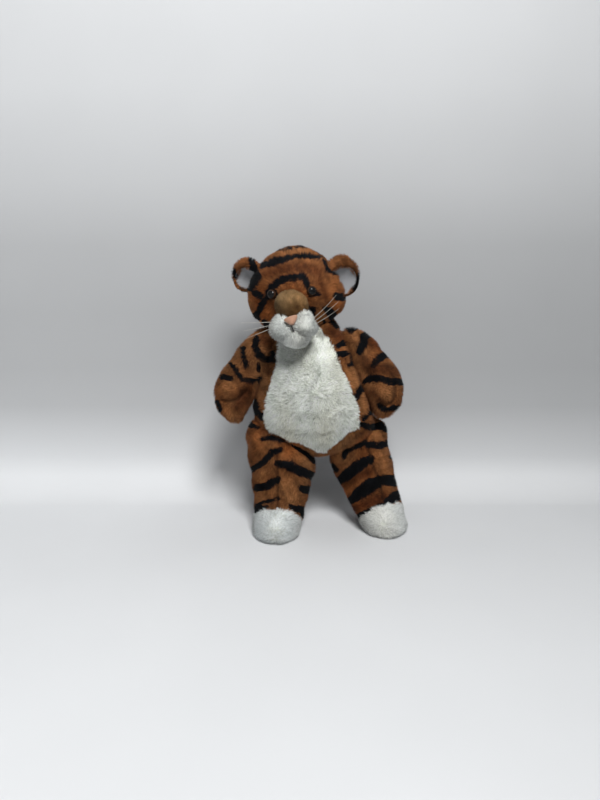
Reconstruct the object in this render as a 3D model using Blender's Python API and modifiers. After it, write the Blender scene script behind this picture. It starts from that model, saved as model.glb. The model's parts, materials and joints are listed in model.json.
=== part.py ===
"""Plush tiger, about 38 cm tall, standing on its two feet.

Every body part is a sewn bag with a separate core of fibre filling in it. The head sits on a
ball of filling in the neck, the arms and the tail turn on flat seams, the thighs turn in round
hollows under the torso. Metres, +Z up, the face looks along -Y, the floor is at z = 0.
"""

from math import cos, pi, radians, sin, sqrt, tan

import bmesh
import bpy
from mathutils import Matrix, Vector

# Cloth and clearances
SKIN = 0.0025
GAP = 0.0003
JOINT_GAP = 0.0008
OVERRUN = 0.004
FAR = 0.5

# Torso
TORSO_HEIGHT = 0.165
TORSO_WIDTH = 0.161
TORSO_DEPTH = 0.112
TORSO_BASE = 0.097
# Each ring: height, half width, half depth, sideways shift, backward shift
TORSO_RING_SHARES = (
    (0.00, 0.170, 0.200, 0.035, 0.00),
    (0.08, 0.360, 0.370, 0.035, 0.00),
    (0.24, 0.490, 0.490, 0.020, 0.00),
    (0.42, 0.515, 0.525, 0.005, 0.00),
    (0.61, 0.460, 0.485, -0.010, 0.00),
    (0.79, 0.380, 0.420, -0.025, 0.01),
    (0.93, 0.320, 0.290, -0.050, 0.02),
    (1.00, 0.190, 0.160, -0.060, 0.02),
)
# Belly panel outline: across from the middle of the torso, and up from its base
BELLY_WIDTH = 0.124
BELLY_BASE = 0.098
BELLY_HEIGHT = 0.157
BELLY_OUTLINE_SHARES = (
    (-0.170, 0.97),
    (-0.240, 0.84),
    (-0.310, 0.66),
    (-0.400, 0.48),
    (-0.440, 0.32),
    (-0.390, 0.17),
    (-0.200, 0.07),
    (0.030, 0.00),
    (0.150, 0.00),
    (0.320, 0.09),
    (0.510, 0.20),
    (0.540, 0.34),
    (0.470, 0.52),
    (0.380, 0.68),
    (0.290, 0.84),
    (0.230, 0.97),
)

# Neck and head
NECK_RADIUS = 0.028
NECK_SHIFT = -0.011
NECK_SINK = -0.002
HEAD_HEIGHT = 0.110
HEAD_WIDTH = 0.122
HEAD_DEPTH = 0.106
HEAD_SHIFT = -0.012
HEAD_FORWARD = 0.004
HEAD_LIFT = 0.002
HEAD_PITCH = radians(3)
HEAD_ROLL = radians(-5)
HEAD_YAW = radians(-6)
HEAD_RING_SHARES = (
    (-0.50, 0.180, 0.180, 0.00, 0.00),
    (-0.41, 0.370, 0.360, 0.00, 0.00),
    (-0.20, 0.500, 0.490, 0.00, 0.00),
    (0.04, 0.530, 0.525, 0.00, 0.00),
    (0.27, 0.455, 0.470, 0.00, 0.00),
    (0.43, 0.290, 0.305, 0.00, 0.00),
    (0.50, 0.130, 0.140, 0.00, 0.00),
)

# Face, in the head's own frame
EYE_SPACING = 0.0494
EYE_RISE = 0.0025
EYE_RADIUS = 0.0059
EYE_BULGE = 0.0048
STEM_RADIUS = 0.0015
STEM_LENGTH = 0.010
WASHER_RADIUS = 0.0070
WASHER_SINK = 0.0022
WASHER_THICKNESS = 0.0012
BRIDGE_WIDTH = 0.039
BRIDGE_LENGTH = 0.050
BRIDGE_THICKNESS = 0.034
BRIDGE_DROP = 0.014
BRIDGE_REACH = 0.004
BRIDGE_SLOPE = radians(24)
LOBE_WIDTH = 0.031
LOBE_DEPTH = 0.036
LOBE_HEIGHT = 0.034
LOBE_SPACING = 0.027
LOBE_DROP = 0.033
LOBE_REACH = 0.015
CHIN_WIDTH = 0.034
CHIN_DEPTH = 0.050
CHIN_HEIGHT = 0.026
CHIN_BELOW = 0.0200
CHIN_BACK = 0.012
NOSE_WIDTH = 0.019
NOSE_DEPTH = 0.013
NOSE_HEIGHT = 0.012
NOSE_DROP = 0.0255
NOSE_REACH = 0.0305
STITCH_RADIUS = 0.0006
STITCH_LENGTH = 0.0075
STITCH_DROP = 0.0318
STITCH_CLEARANCE = 0.0016
WHISKER_RADIUS = 0.0003
WHISKER_LENGTH = 0.038
WHISKER_DROP = 0.028
WHISKER_PITCH = 0.0045
WHISKER_LIFTS = {"left": radians(-6), "right": radians(34)}
WHISKER_SPREAD = radians(9)
WHISKERS_A_SIDE = 3

# Ears
EAR_WIDTH = 0.050
EAR_HEIGHT = 0.050
EAR_THICKNESS = 0.017
EAR_SEAT = 0.0015
EAR_RISE = 0.020
EAR_SLIP = 0.007
EAR_BACK = -0.006
EAR_TURN = radians(28)
EAR_RIM = 0.0055
EAR_CUP = 0.0085
LINING_THICKNESS = 0.0016

# Arms
SHOULDER_HEIGHT = 0.234
SHOULDER_FORWARD = 0.003
SEAT_DEPTH = 0.0035
ARM_TILT = radians(20)
ARM_LENGTH = 0.116
ARM_WIDTH = 0.047
ARM_DEPTH = 0.048
ARM_CUT = 0.0055
# Height measured from the shoulder, shifts outward and backward
ARM_RING_SHARES = (
    (0.215, 0.260, 0.260, -0.060, 0.00),
    (0.12, 0.470, 0.450, -0.020, 0.00),
    (-0.07, 0.570, 0.530, 0.040, -0.01),
    (-0.33, 0.610, 0.520, 0.140, -0.07),
    (-0.54, 0.570, 0.530, 0.210, -0.17),
    (-0.71, 0.450, 0.450, 0.160, -0.22),
    (-0.79, 0.220, 0.230, 0.090, -0.24),
)

# Legs
HIP_HEIGHT = 0.106
HIP_RADIUS = 0.0405
HIP_SPACING = 0.1040
HIP_SHIFT = 0.0085
LEG_SPLAY_LEFT = radians(3)
LEG_SPLAY_RIGHT = radians(20)
STEP_LEFT = 0.003
STEP_RIGHT = -0.014
DOME_GROWTH_SHARE = 1.056
DOME_SHARES = (0.945, 0.62)
OPENING_SHARE = 0.45
# The torso is hollowed over each thigh, so that the leg can swing this far forward
LEG_SWING = radians(45)
# Below the hip: height as a share of the hip height, then shares of the hip radius
LEG_RING_SHARES = (
    (0.00, 1.035, 1.035, 0.00, 0.00),
    (-0.30, 1.000, 0.960, 0.00, -0.03),
    (-0.55, 0.850, 0.860, 0.00, -0.16),
    (-0.76, 0.830, 1.080, 0.00, -0.49),
    (-0.93, 0.780, 1.080, 0.00, -0.60),
    (-1.00, 0.640, 0.940, 0.00, -0.60),
)
FLAT_CUT = 0.0005
TOE_SEAM = 0.038
SOLE_THICKNESS = 0.003
SOLE_WIDTH = 0.054
SOLE_LENGTH = 0.080
SOLE_FORWARD = 0.0243

# Tail
TAIL_RADIUS = 0.0125
TAIL_HEIGHT = 0.142
TAIL_SHIFT = 0.002
TAIL_SEAT = 0.0018
TAIL_REACH = 0.026
TAIL_DROP = 0.112
TAIL_SWAY = 0.056
TAIL_TIP = 0.030
# Places along the tail: sideways as a share of the sway, back of the reach, down of the drop
TAIL_SPINE_SHARES = (
    (0.00, -0.30, 0.00, 0.85),
    (0.00, 0.20, 0.00, 1.00),
    (0.10, 0.80, 0.14, 1.00),
    (0.40, 1.00, 0.45, 0.97),
    (0.80, 1.00, 0.78, 0.97),
    (1.08, 0.96, 0.94, 0.84),
    (1.20, 0.93, 0.98, 0.45),
)

BODY_SIDES = 8
ARM_SIDES = 6
TAIL_SIDES = 6
LEVELS = 1
SIDES = {"left": -1, "right": 1}


def clear_scene():
    for thing in list(bpy.data.objects):
        bpy.data.objects.remove(thing, do_unlink=True)


def new_collection(name):
    group = bpy.data.collections.new(name)
    bpy.context.scene.collection.children.link(group)
    return group


def material(name, colour, roughness, metallic=0.0):
    mat = bpy.data.materials.new(name)
    mat.use_nodes = True
    shader = mat.node_tree.nodes["Principled BSDF"]
    shader.inputs["Base Color"].default_value = (*colour, 1.0)
    shader.inputs["Roughness"].default_value = roughness
    shader.inputs["Metallic"].default_value = metallic
    return mat


def add_piece(name, mesh, mat, parent=None, location=(0, 0, 0), rotation=(0, 0, 0)):
    """One named sub-part with its own material, round and smooth."""
    piece = bpy.data.objects.new(name, mesh)
    parts.objects.link(piece)
    piece.data.materials.clear()
    piece.data.materials.append(mat)
    piece.data.shade_smooth()
    piece.data.set_sharp_from_angle(angle=radians(50))
    place(piece, parent, location, rotation)
    return piece


def add_cutter(name, mesh, parent=None, location=(0, 0, 0), rotation=(0, 0, 0)):
    cutter = bpy.data.objects.new(name, mesh)
    cutters.objects.link(cutter)
    cutter.hide_render = True
    cutter.display_type = "WIRE"
    place(cutter, parent, location, rotation)
    return cutter


def add_axis(name, parent=None, location=(0, 0, 0), rotation=(0, 0, 0)):
    """An empty that marks a joint or a frame that pieces hang on."""
    axis = bpy.data.objects.new(name, None)
    parts.objects.link(axis)
    place(axis, parent, location, rotation)
    return axis


def place(thing, parent, location, rotation):
    thing.parent = parent
    thing.location = location
    thing.rotation_euler = rotation


def mesh_from(name, bm):
    bmesh.ops.recalc_face_normals(bm, faces=bm.faces)
    mesh = bpy.data.meshes.new(name)
    bm.to_mesh(mesh)
    bm.free()
    return mesh


def cage(name, rings, sides):
    """A closed cage through rings of (centre, across, along), each ring an ellipse.

    The ring is widened by what one smoothing step takes off it, so that the smoothed form
    has the half widths that the rings name.
    """
    growth = 1 / ((3 + cos(2 * pi / sides)) / 4) ** LEVELS
    bm = bmesh.new()
    loops = []
    for centre, across, along in rings:
        turns = [2 * pi * k / sides for k in range(sides)]
        spots = [centre + growth * (across * cos(t) + along * sin(t)) for t in turns]
        loops.append([bm.verts.new(spot) for spot in spots])
    for low, high in zip(loops, loops[1:]):
        for k in range(sides):
            after = (k + 1) % sides
            bm.faces.new((low[k], low[after], high[after], high[k]))
    bm.faces.new(loops[0])
    bm.faces.new(loops[-1])
    return mesh_from(name, bm)


def level_rings(shares, height, width, depth):
    """Level rings from a table of shares."""
    rings = []
    for up, wide, deep, side, back in shares:
        centre = Vector((side * width, back * depth, up * height))
        rings.append((centre, Vector((wide * width, 0, 0)), Vector((0, deep * depth, 0))))
    return rings


def smooth(thing):
    step = thing.modifiers.new("smooth", "SUBSURF")
    step.levels = LEVELS
    step.render_levels = LEVELS
    return thing


def swell(thing, distance):
    """Moves the surface along its normals: outward, or inward when negative."""
    step = thing.modifiers.new("swell", "DISPLACE")
    step.direction = "NORMAL"
    step.mid_level = 0
    step.strength = distance
    return thing


def hollow(thing, wall=SKIN):
    step = thing.modifiers.new("hollow", "SOLIDIFY")
    step.thickness = wall
    step.offset = -1
    step.use_even_offset = False
    return thing


def cut(thing, *tools, keep=False):
    for tool in tools:
        step = thing.modifiers.new(tool.name, "BOOLEAN")
        step.operation = "INTERSECT" if keep else "DIFFERENCE"
        step.object = tool
        step.solver = "EXACT"
    return thing


def skin(name, mesh, mat, parent, location=(0, 0, 0)):
    return hollow(smooth(add_piece(name, mesh, mat, parent, location)))


def filling(name, mesh, parent, location=(0, 0, 0)):
    piece = smooth(add_piece(name, mesh, fibre, parent, location))
    return swell(piece, -(SKIN + 2 * GAP))


def form(name, mesh, parent, location=(0, 0, 0), grown=GAP):
    """The outside of a body part as a cutter, a clearance larger than the part."""
    return swell(smooth(add_cutter(name, mesh, parent, location)), grown)


def ball(name, radius, across=20, down=10, sizes=(1, 1, 1)):
    """A ball, or an egg when its sizes differ, with its poles along X."""
    bm = bmesh.new()
    bmesh.ops.create_uvsphere(bm, u_segments=across, v_segments=down, radius=radius)
    bmesh.ops.rotate(bm, verts=bm.verts, matrix=Matrix.Rotation(pi / 2, 3, "Y"))
    bmesh.ops.scale(bm, verts=bm.verts, vec=sizes)
    return mesh_from(name, bm)


def egg(name, width, depth, height, across=14, down=8):
    return ball(name, 1, across, down, (width / 2, depth / 2, height / 2))


def rod(name, radius, length, sides=16):
    """A cylinder that runs from the origin down its own -Z."""
    bm = bmesh.new()
    bmesh.ops.create_cone(
        bm, cap_ends=True, segments=sides, radius1=radius, radius2=radius, depth=length
    )
    bmesh.ops.translate(bm, verts=bm.verts, vec=(0, 0, -length / 2))
    return mesh_from(name, bm)


def domed_rod(name, radius, length, sides=20, steps=5):
    """A rod down its own -Z whose top is a half ball around the origin."""
    bm = bmesh.new()
    levels = []
    for k in range(1, steps + 1):
        turn = pi / 2 * k / steps
        levels.append((radius * sin(turn), radius * cos(turn)))
    levels.append((radius, -length))
    loops = []
    for out, up in levels:
        turns = [2 * pi * k / sides for k in range(sides)]
        loops.append([bm.verts.new((out * cos(t), out * sin(t), up)) for t in turns])
    top = bm.verts.new((0, 0, radius))
    for k in range(sides):
        bm.faces.new((loops[0][k], loops[0][(k + 1) % sides], top))
        for low, high in zip(loops[1:], loops):
            bm.faces.new((low[k], low[(k + 1) % sides], high[(k + 1) % sides], high[k]))
    bm.faces.new(loops[-1])
    return mesh_from(name, bm)


def half_space(name, parent, point, normal):
    """A large box whose face passes through the point, lying on the side of the normal."""
    bm = bmesh.new()
    bmesh.ops.create_cube(bm, size=FAR)
    bmesh.ops.translate(bm, verts=bm.verts, vec=(0, 0, FAR / 2))
    turn = Vector(normal).to_track_quat("Z", "Y").to_euler()
    return add_cutter(name, mesh_from(name, bm), parent, point, turn)


def turned(name, profile, mat, parent, location, rotation, sides=16):
    """A profile of (radius, height) points, outer side top to bottom, turned about Z."""
    bm = bmesh.new()
    spots = [bm.verts.new((radius, 0, height)) for radius, height in profile]
    for one, other in zip(spots, spots[1:]):
        bm.edges.new((one, other))
    if profile[0][0] > 0:
        bm.edges.new((spots[-1], spots[0]))
    mesh = bpy.data.meshes.new(name)
    bm.to_mesh(mesh)
    bm.free()
    piece = add_piece(name, mesh, mat, parent, location, rotation)
    step = piece.modifiers.new("turn", "SCREW")
    step.steps = sides
    step.render_steps = sides
    step.use_merge_vertices = True
    step.merge_threshold = GAP / 10
    step.use_smooth_shade = True
    return piece


def thread(name, points, radius, mat, parent):
    """A thin tube through points, its ends filled, as a mesh."""
    line = bpy.data.curves.new(name, "CURVE")
    line.dimensions = "3D"
    line.bevel_depth = radius
    line.bevel_resolution = 1
    line.use_fill_caps = True
    run = line.splines.new("POLY")
    run.points.add(len(points) - 1)
    for spot, point in zip(run.points, points):
        spot.co = (*point, 1)
    piece = bpy.data.objects.new(name, line)
    parts.objects.link(piece)
    line.materials.append(mat)
    place(piece, parent, (0, 0, 0), (0, 0, 0))
    return piece


def flat_outline(name, points, thickness, smooth_line=True):
    """A flat closed outline in the XY plane with a thickness, as a mesh."""
    line = bpy.data.curves.new(name, "CURVE")
    line.dimensions = "2D"
    line.fill_mode = "BOTH"
    line.extrude = thickness / 2
    line.resolution_u = 2
    run = line.splines.new("BEZIER")
    run.bezier_points.add(len(points) - 1)
    for spot, point in zip(run.bezier_points, points):
        spot.co = (*point, 0)
        spot.handle_left_type = "AUTO" if smooth_line else "VECTOR"
        spot.handle_right_type = spot.handle_left_type
    run.use_cyclic_u = True
    drawing = bpy.data.objects.new(name, line)
    cutters.objects.link(drawing)
    bpy.context.view_layer.update()
    graph = bpy.context.evaluated_depsgraph_get()
    mesh = bpy.data.meshes.new_from_object(drawing.evaluated_get(graph))
    bpy.data.objects.remove(drawing)
    bm = bmesh.new()
    bm.from_mesh(mesh)
    bmesh.ops.remove_doubles(bm, verts=bm.verts, dist=GAP / 10)
    return mesh_from(name, bm)


def seat_on(shape, start, direction):
    """Where a straight line meets a form, and the outward normal there, in the form's frame."""
    bpy.context.view_layer.update()
    graph = bpy.context.evaluated_depsgraph_get()
    _, point, normal, _ = shape.evaluated_get(graph).ray_cast(start, direction)
    return point, normal


clear_scene()
parts = new_collection("plush_tiger")
cutters = new_collection("cutters")

plush = material("orange_plush", (0.300, 0.095, 0.027), 0.95)
white_plush = material("white_plush", (0.72, 0.70, 0.66), 0.95)
tan_plush = material("tan_plush", (0.19, 0.105, 0.042), 0.95)
black_plush = material("black_plush", (0.012, 0.012, 0.014), 0.95)
lining_cloth = material("ear_lining", (0.50, 0.51, 0.53), 0.85)
pink_cloth = material("nose_velour", (0.66, 0.31, 0.22), 0.8)
eye_plastic = material("eye_plastic", (0.010, 0.009, 0.009), 0.08)
washer_plastic = material("washer_plastic", (0.75, 0.75, 0.72), 0.5)
nylon = material("whisker_nylon", (0.60, 0.55, 0.45), 0.3)
black_thread = material("black_thread", (0.015, 0.013, 0.012), 0.7)
fibre = material("fibre_filling", (0.85, 0.85, 0.83), 1.0)


# Frames and joint axes
root = add_axis("torso_frame")
neck_centre = Vector((NECK_SHIFT, 0, TORSO_BASE + TORSO_HEIGHT - NECK_SINK))
turn_axis = add_axis("head_turn_axis", root, neck_centre)
nod_axis = add_axis("head_nod_axis", turn_axis)
head_spot = Vector((HEAD_SHIFT, -HEAD_FORWARD, HEAD_HEIGHT / 2 + HEAD_LIFT))
head_frame = add_axis(
    "head_frame", nod_axis, head_spot, (HEAD_PITCH, HEAD_ROLL, HEAD_YAW)
)


def torso_cage(name):
    rings = level_rings(TORSO_RING_SHARES, TORSO_HEIGHT, TORSO_WIDTH, TORSO_DEPTH)
    return cage(name, rings, BODY_SIDES)


def head_cage(name):
    rings = level_rings(HEAD_RING_SHARES, HEAD_HEIGHT, HEAD_WIDTH, HEAD_DEPTH)
    return cage(name, rings, BODY_SIDES)


torso_spot = Vector((0, 0, TORSO_BASE))
torso_form = form("torso_form", torso_cage("torso_form"), root, torso_spot)
head_form = form("head_form", head_cage("head_form"), head_frame)


def hip_centre(side):
    """The middle of the ball that the thigh turns on."""
    step = STEP_LEFT if side < 0 else STEP_RIGHT
    return Vector((HIP_SHIFT + side * HIP_SPACING / 2, -step, HIP_HEIGHT))


def shoulder_seat(side):
    """A point of the flat seam between arm and torso, and the direction straight out of it."""
    start = Vector((side * FAR, -SHOULDER_FORWARD, SHOULDER_HEIGHT - TORSO_BASE))
    point, _ = seat_on(torso_form, start, Vector((-side, 0, 0)))
    out = Vector((side * cos(ARM_TILT), 0, sin(ARM_TILT)))
    return point + torso_spot - out * SEAT_DEPTH, out


def tail_seat():
    start = Vector((TAIL_SHIFT, FAR, TAIL_HEIGHT - TORSO_BASE))
    point, _ = seat_on(torso_form, start, Vector((0, -1, 0)))
    return point + torso_spot - Vector((0, TAIL_SEAT, 0))


def leg_lean(side):
    """How far the leg goes sideways for each step down."""
    return side * tan(LEG_SPLAY_LEFT if side < 0 else LEG_SPLAY_RIGHT)


def thigh_path(name, side):
    """The round hollow over a thigh, open along the way the leg points when it is swung."""
    rest = Vector((leg_lean(side), 0, -1))
    swung = Matrix.Rotation(-LEG_SWING, 3, "X") @ rest
    turn = (-swung).to_track_quat("Z", "Y").to_euler()
    mesh = domed_rod(name, HIP_RADIUS + JOINT_GAP, FAR / 2)
    return add_cutter(name, mesh, root, hip_centre(side), turn)


def torso_cutters():
    """What the neck, thighs, arms and tail take out of the torso."""
    tools = [
        add_cutter(
            "neck_hollow", ball("neck_hollow", NECK_RADIUS + JOINT_GAP), root, neck_centre
        )
    ]
    for word, side in SIDES.items():
        tools.append(thigh_path("thigh_path_" + word, side))
        point, out = shoulder_seat(side)
        tools.append(half_space("arm_seat_" + word, root, point, out))
    tools.append(half_space("tail_seat", root, tail_seat(), (0, 1, 0)))
    return tools


def belly_prism(name, spread):
    """A column along Y with the belly panel's outline, widened by the spread."""
    middle = BELLY_BASE + BELLY_HEIGHT / 2
    points = []
    for across, up in BELLY_OUTLINE_SHARES:
        spot = Vector((across * BELLY_WIDTH, BELLY_BASE + up * BELLY_HEIGHT - middle))
        points.append(spot + spot.normalized() * spread)
    mesh = flat_outline(name, points, FAR)
    return add_cutter(name, mesh, root, (0, -FAR / 2, middle), (pi / 2, 0, 0))


def make_torso():
    tools = torso_cutters()
    bag = skin("torso_skin", torso_cage("torso_skin"), plush, root, torso_spot)
    cut(bag, *tools, belly_prism("belly_opening", 2 * GAP))
    panel = skin("belly_panel", torso_cage("belly_panel"), white_plush, root, torso_spot)
    cut(panel, belly_prism("belly_outline", 0), keep=True)
    cut(panel, *tools)
    core = filling("torso_filling", torso_cage("torso_filling"), root, torso_spot)
    cut(core, *tools)


def make_neck():
    mesh = ball("neck_filling", NECK_RADIUS)
    add_piece("neck_filling", mesh, fibre, turn_axis)


def eye_place(side):
    """Where an eye's flange meets the face, and the way the eye looks."""
    start = Vector((side * EYE_SPACING / 2, -FAR, EYE_RISE))
    return seat_on(head_form, start, Vector((0, 1, 0)))


def make_head():
    socket = add_cutter(
        "head_socket", ball("head_socket", NECK_RADIUS + JOINT_GAP), nod_axis
    )
    bag = skin("head_skin", head_cage("head_skin"), plush, head_frame)
    core = filling("head_filling", head_cage("head_filling"), head_frame)
    cut(bag, socket)
    cut(core, socket)
    for word, side in SIDES.items():
        point, out = eye_place(side)
        turn = out.to_track_quat("Z", "Y").to_euler()
        hole = rod("eye_hole_" + word, STEM_RADIUS + GAP, STEM_LENGTH + OVERRUN)
        hole = add_cutter("eye_hole_" + word, hole, head_frame, point + out * OVERRUN / 2, turn)
        deep = SKIN + WASHER_SINK + WASHER_THICKNESS + 3 * GAP
        pocket = rod("washer_pocket_" + word, WASHER_RADIUS + GAP, deep)
        pocket = add_cutter("washer_pocket_" + word, pocket, head_frame, point, turn)
        cut(bag, hole)
        cut(core, pocket, hole)
        make_eye(word, point, out, turn)


def make_eye(word, point, out, turn):
    """A domed plastic eye on a stem, held by a washer behind the cloth."""
    arc = [pi / 2 * k / 5 for k in range(5, -1, -1)]
    profile = [(EYE_RADIUS * cos(a), EYE_BULGE * sin(a)) for a in arc]
    profile[0] = (0, EYE_BULGE)
    profile += [(STEM_RADIUS, 0), (STEM_RADIUS, -STEM_LENGTH), (0, -STEM_LENGTH)]
    turned("eye_" + word, profile, eye_plastic, head_frame, point, turn)
    back = point - out * (SKIN + WASHER_SINK + 2 * GAP)
    hole = STEM_RADIUS + GAP
    ring = [
        (WASHER_RADIUS, 0),
        (WASHER_RADIUS, -WASHER_THICKNESS),
        (hole, -WASHER_THICKNESS),
        (hole, 0),
    ]
    turned("eye_washer_" + word, ring, washer_plastic, head_frame, back, turn)


def face_depth(drop):
    """How far the front of the head lies from its middle at a height below the middle."""
    point, _ = seat_on(head_form, Vector((0, -FAR, -drop)), Vector((0, 1, 0)))
    return point.y


def make_snout():
    """The tan bridge, two muzzle lobes, the chin and the nose, each cut by the larger ones."""
    face = form("face_form", head_cage("face_form"), head_frame)
    spot = (0, face_depth(BRIDGE_DROP) - BRIDGE_REACH, -BRIDGE_DROP)
    sizes = (BRIDGE_WIDTH, BRIDGE_LENGTH, BRIDGE_THICKNESS)
    slope = (BRIDGE_SLOPE, 0, 0)
    bridge = add_piece("snout_bridge", egg("snout_bridge", *sizes), tan_plush, head_frame)
    place(bridge, head_frame, spot, slope)
    cut(bridge, face)
    bridge_form = egg("bridge_form", *[size + 2 * GAP for size in sizes])
    bridge_form = add_cutter("bridge_form", bridge_form, head_frame, spot, slope)
    lobes = []
    sizes = (LOBE_WIDTH, LOBE_DEPTH, LOBE_HEIGHT)
    for word, side in SIDES.items():
        spot = lobe_spot(side)
        name = "muzzle_" + word
        lobe = add_piece(name, egg(name, *sizes), white_plush, head_frame, spot)
        middle = half_space(
            "muzzle_middle_" + word, head_frame, (side * GAP / 2, 0, 0), (-side, 0, 0)
        )
        cut(lobe, face, bridge_form, middle)
        lobe_form = egg("lobe_form_" + word, *[size + 2 * GAP for size in sizes])
        lobes.append(add_cutter("lobe_form_" + word, lobe_form, head_frame, spot))
    spot = lobe_spot(0) + Vector((0, CHIN_BACK, -CHIN_BELOW))
    mesh = egg("chin", CHIN_WIDTH, CHIN_DEPTH, CHIN_HEIGHT)
    chin = add_piece("chin", mesh, white_plush, head_frame, spot)
    neck_room = ball("chin_neck_room", NECK_RADIUS + JOINT_GAP)
    cut(chin, face, bridge_form, *lobes, add_cutter("chin_neck_room", neck_room, nod_axis))
    spot = (0, face_depth(NOSE_DROP) - NOSE_REACH, -NOSE_DROP)
    mesh = egg("nose", NOSE_WIDTH, NOSE_DEPTH, NOSE_HEIGHT)
    cut(add_piece("nose", mesh, pink_cloth, head_frame, spot), bridge_form, *lobes)


def lobe_spot(side):
    reach = face_depth(LOBE_DROP) - LOBE_REACH
    return Vector((side * LOBE_SPACING / 2, reach, -LOBE_DROP))


def make_mouth_stitch():
    """A black thread down the cleft between the lobes, in front of where they meet."""
    middle = lobe_spot(0)
    across = LOBE_SPACING / LOBE_WIDTH
    points = []
    for k in range(4):
        drop = STITCH_DROP + STITCH_LENGTH * k / 3
        up = (middle.z + drop) / (LOBE_HEIGHT / 2)
        depth = LOBE_DEPTH / 2 * sqrt(max(0, 1 - across**2 - up**2))
        points.append((0, middle.y - depth - STITCH_CLEARANCE, -drop))
    thread("mouth_stitch", points, STITCH_RADIUS, black_thread, head_frame)


def make_whiskers():
    """Three nylon bristles a side, each a shallow arc out of the muzzle."""
    for word, side in SIDES.items():
        for k in range(WHISKERS_A_SIDE):
            drop = WHISKER_DROP + WHISKER_PITCH * k
            lift = WHISKER_LIFTS[word] + WHISKER_SPREAD * (1 - k)
            spot = lobe_spot(side)
            up = (-drop - spot.z) / (LOBE_HEIGHT / 2)
            wide = LOBE_WIDTH / 2 * sqrt(1 - up**2)
            start = Vector((spot.x + side * (wide + WHISKER_RADIUS + GAP), spot.y, -drop))
            points = []
            for j in range(5):
                along = WHISKER_LENGTH * j / 4
                bend = lift * (1 + j / 8)
                ahead = Vector((side * cos(bend), 0, sin(bend))) * along
                points.append(start + ahead)
            name = f"whisker_{word}_{k + 1}"
            thread(name, points, WHISKER_RADIUS, nylon, head_frame)


def make_ears():
    """A cupped plush ear on each side with a smooth lining in the cup."""
    for word, side in SIDES.items():
        spot = Vector((side * (HEAD_WIDTH / 2 - EAR_SEAT), EAR_BACK, EAR_RISE - side * EAR_SLIP))
        turn = (0, 0, side * EAR_TURN)
        frame = add_axis("ear_frame_" + word, head_frame, spot, turn)
        name = "ear_back_" + word
        mesh = egg(name, EAR_WIDTH, EAR_THICKNESS, EAR_HEIGHT)
        back = add_piece(name, mesh, plush, frame)
        forward = (0, -EAR_CUP, 0)
        inner = (EAR_WIDTH - 2 * EAR_RIM, EAR_THICKNESS, EAR_HEIGHT - 2 * EAR_RIM)
        cup = add_cutter("ear_cup_" + word, egg("ear_cup_" + word, *inner), frame, forward)
        side_form = form("ear_side_form_" + word, head_cage("side_form"), head_frame)
        cut(back, cup, side_form)
        name = "ear_lining_" + word
        mesh = egg(name, *[size - 2 * GAP for size in inner])
        lining = add_piece(name, mesh, lining_cloth, frame, forward)
        front = (0, -EAR_CUP - LINING_THICKNESS, 0)
        over = egg("lining_front_" + word, inner[0] + OVERRUN, inner[1], inner[2] + OVERRUN)
        cut(lining, side_form, add_cutter("lining_front_" + word, over, frame, front))


def make_arm(word, side):
    """An arm that hangs along its flat seam on the side of the torso."""
    point, out = shoulder_seat(side)
    away = ARM_WIDTH / 2 - ARM_CUT
    tilt = (0, -side * ARM_TILT, 0)
    axis = add_axis("arm_axis_" + word, root, point + out * (away + GAP), tilt)
    seam = half_space("arm_seam_" + word, axis, (-side * away, 0, 0), (-side, 0, 0))
    shares = [(up, w, d, side * s, b) for up, w, d, s, b in ARM_RING_SHARES]
    rings = level_rings(shares, ARM_LENGTH, ARM_WIDTH, ARM_DEPTH)
    name = "arm_skin_" + word
    cut(skin(name, cage(name, rings, ARM_SIDES), plush, axis), seam)
    name = "arm_filling_" + word
    cut(filling(name, cage(name, rings, ARM_SIDES), axis), seam)


def leg_rings(side):
    """A round dome over the hip, then the thigh, the ankle and the foot."""
    lean = leg_lean(side)
    rings = []
    for share in DOME_SHARES:
        up = Vector((0, 0, HIP_RADIUS * DOME_GROWTH_SHARE * share))
        out = HIP_RADIUS * DOME_GROWTH_SHARE * sqrt(1 - share**2)
        rings.append((up, Vector((out, 0, 0)), Vector((0, out, 0))))
    drop = HIP_HEIGHT - SOLE_THICKNESS - GAP + FLAT_CUT
    for up, wide, deep, _, back in LEG_RING_SHARES:
        centre = Vector((lean * -up * drop, back * HIP_RADIUS, up * drop))
        across = Vector((wide * HIP_RADIUS, 0, 0))
        rings.append((centre, across, Vector((0, deep * HIP_RADIUS, 0))))
    return rings, lean * drop


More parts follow.
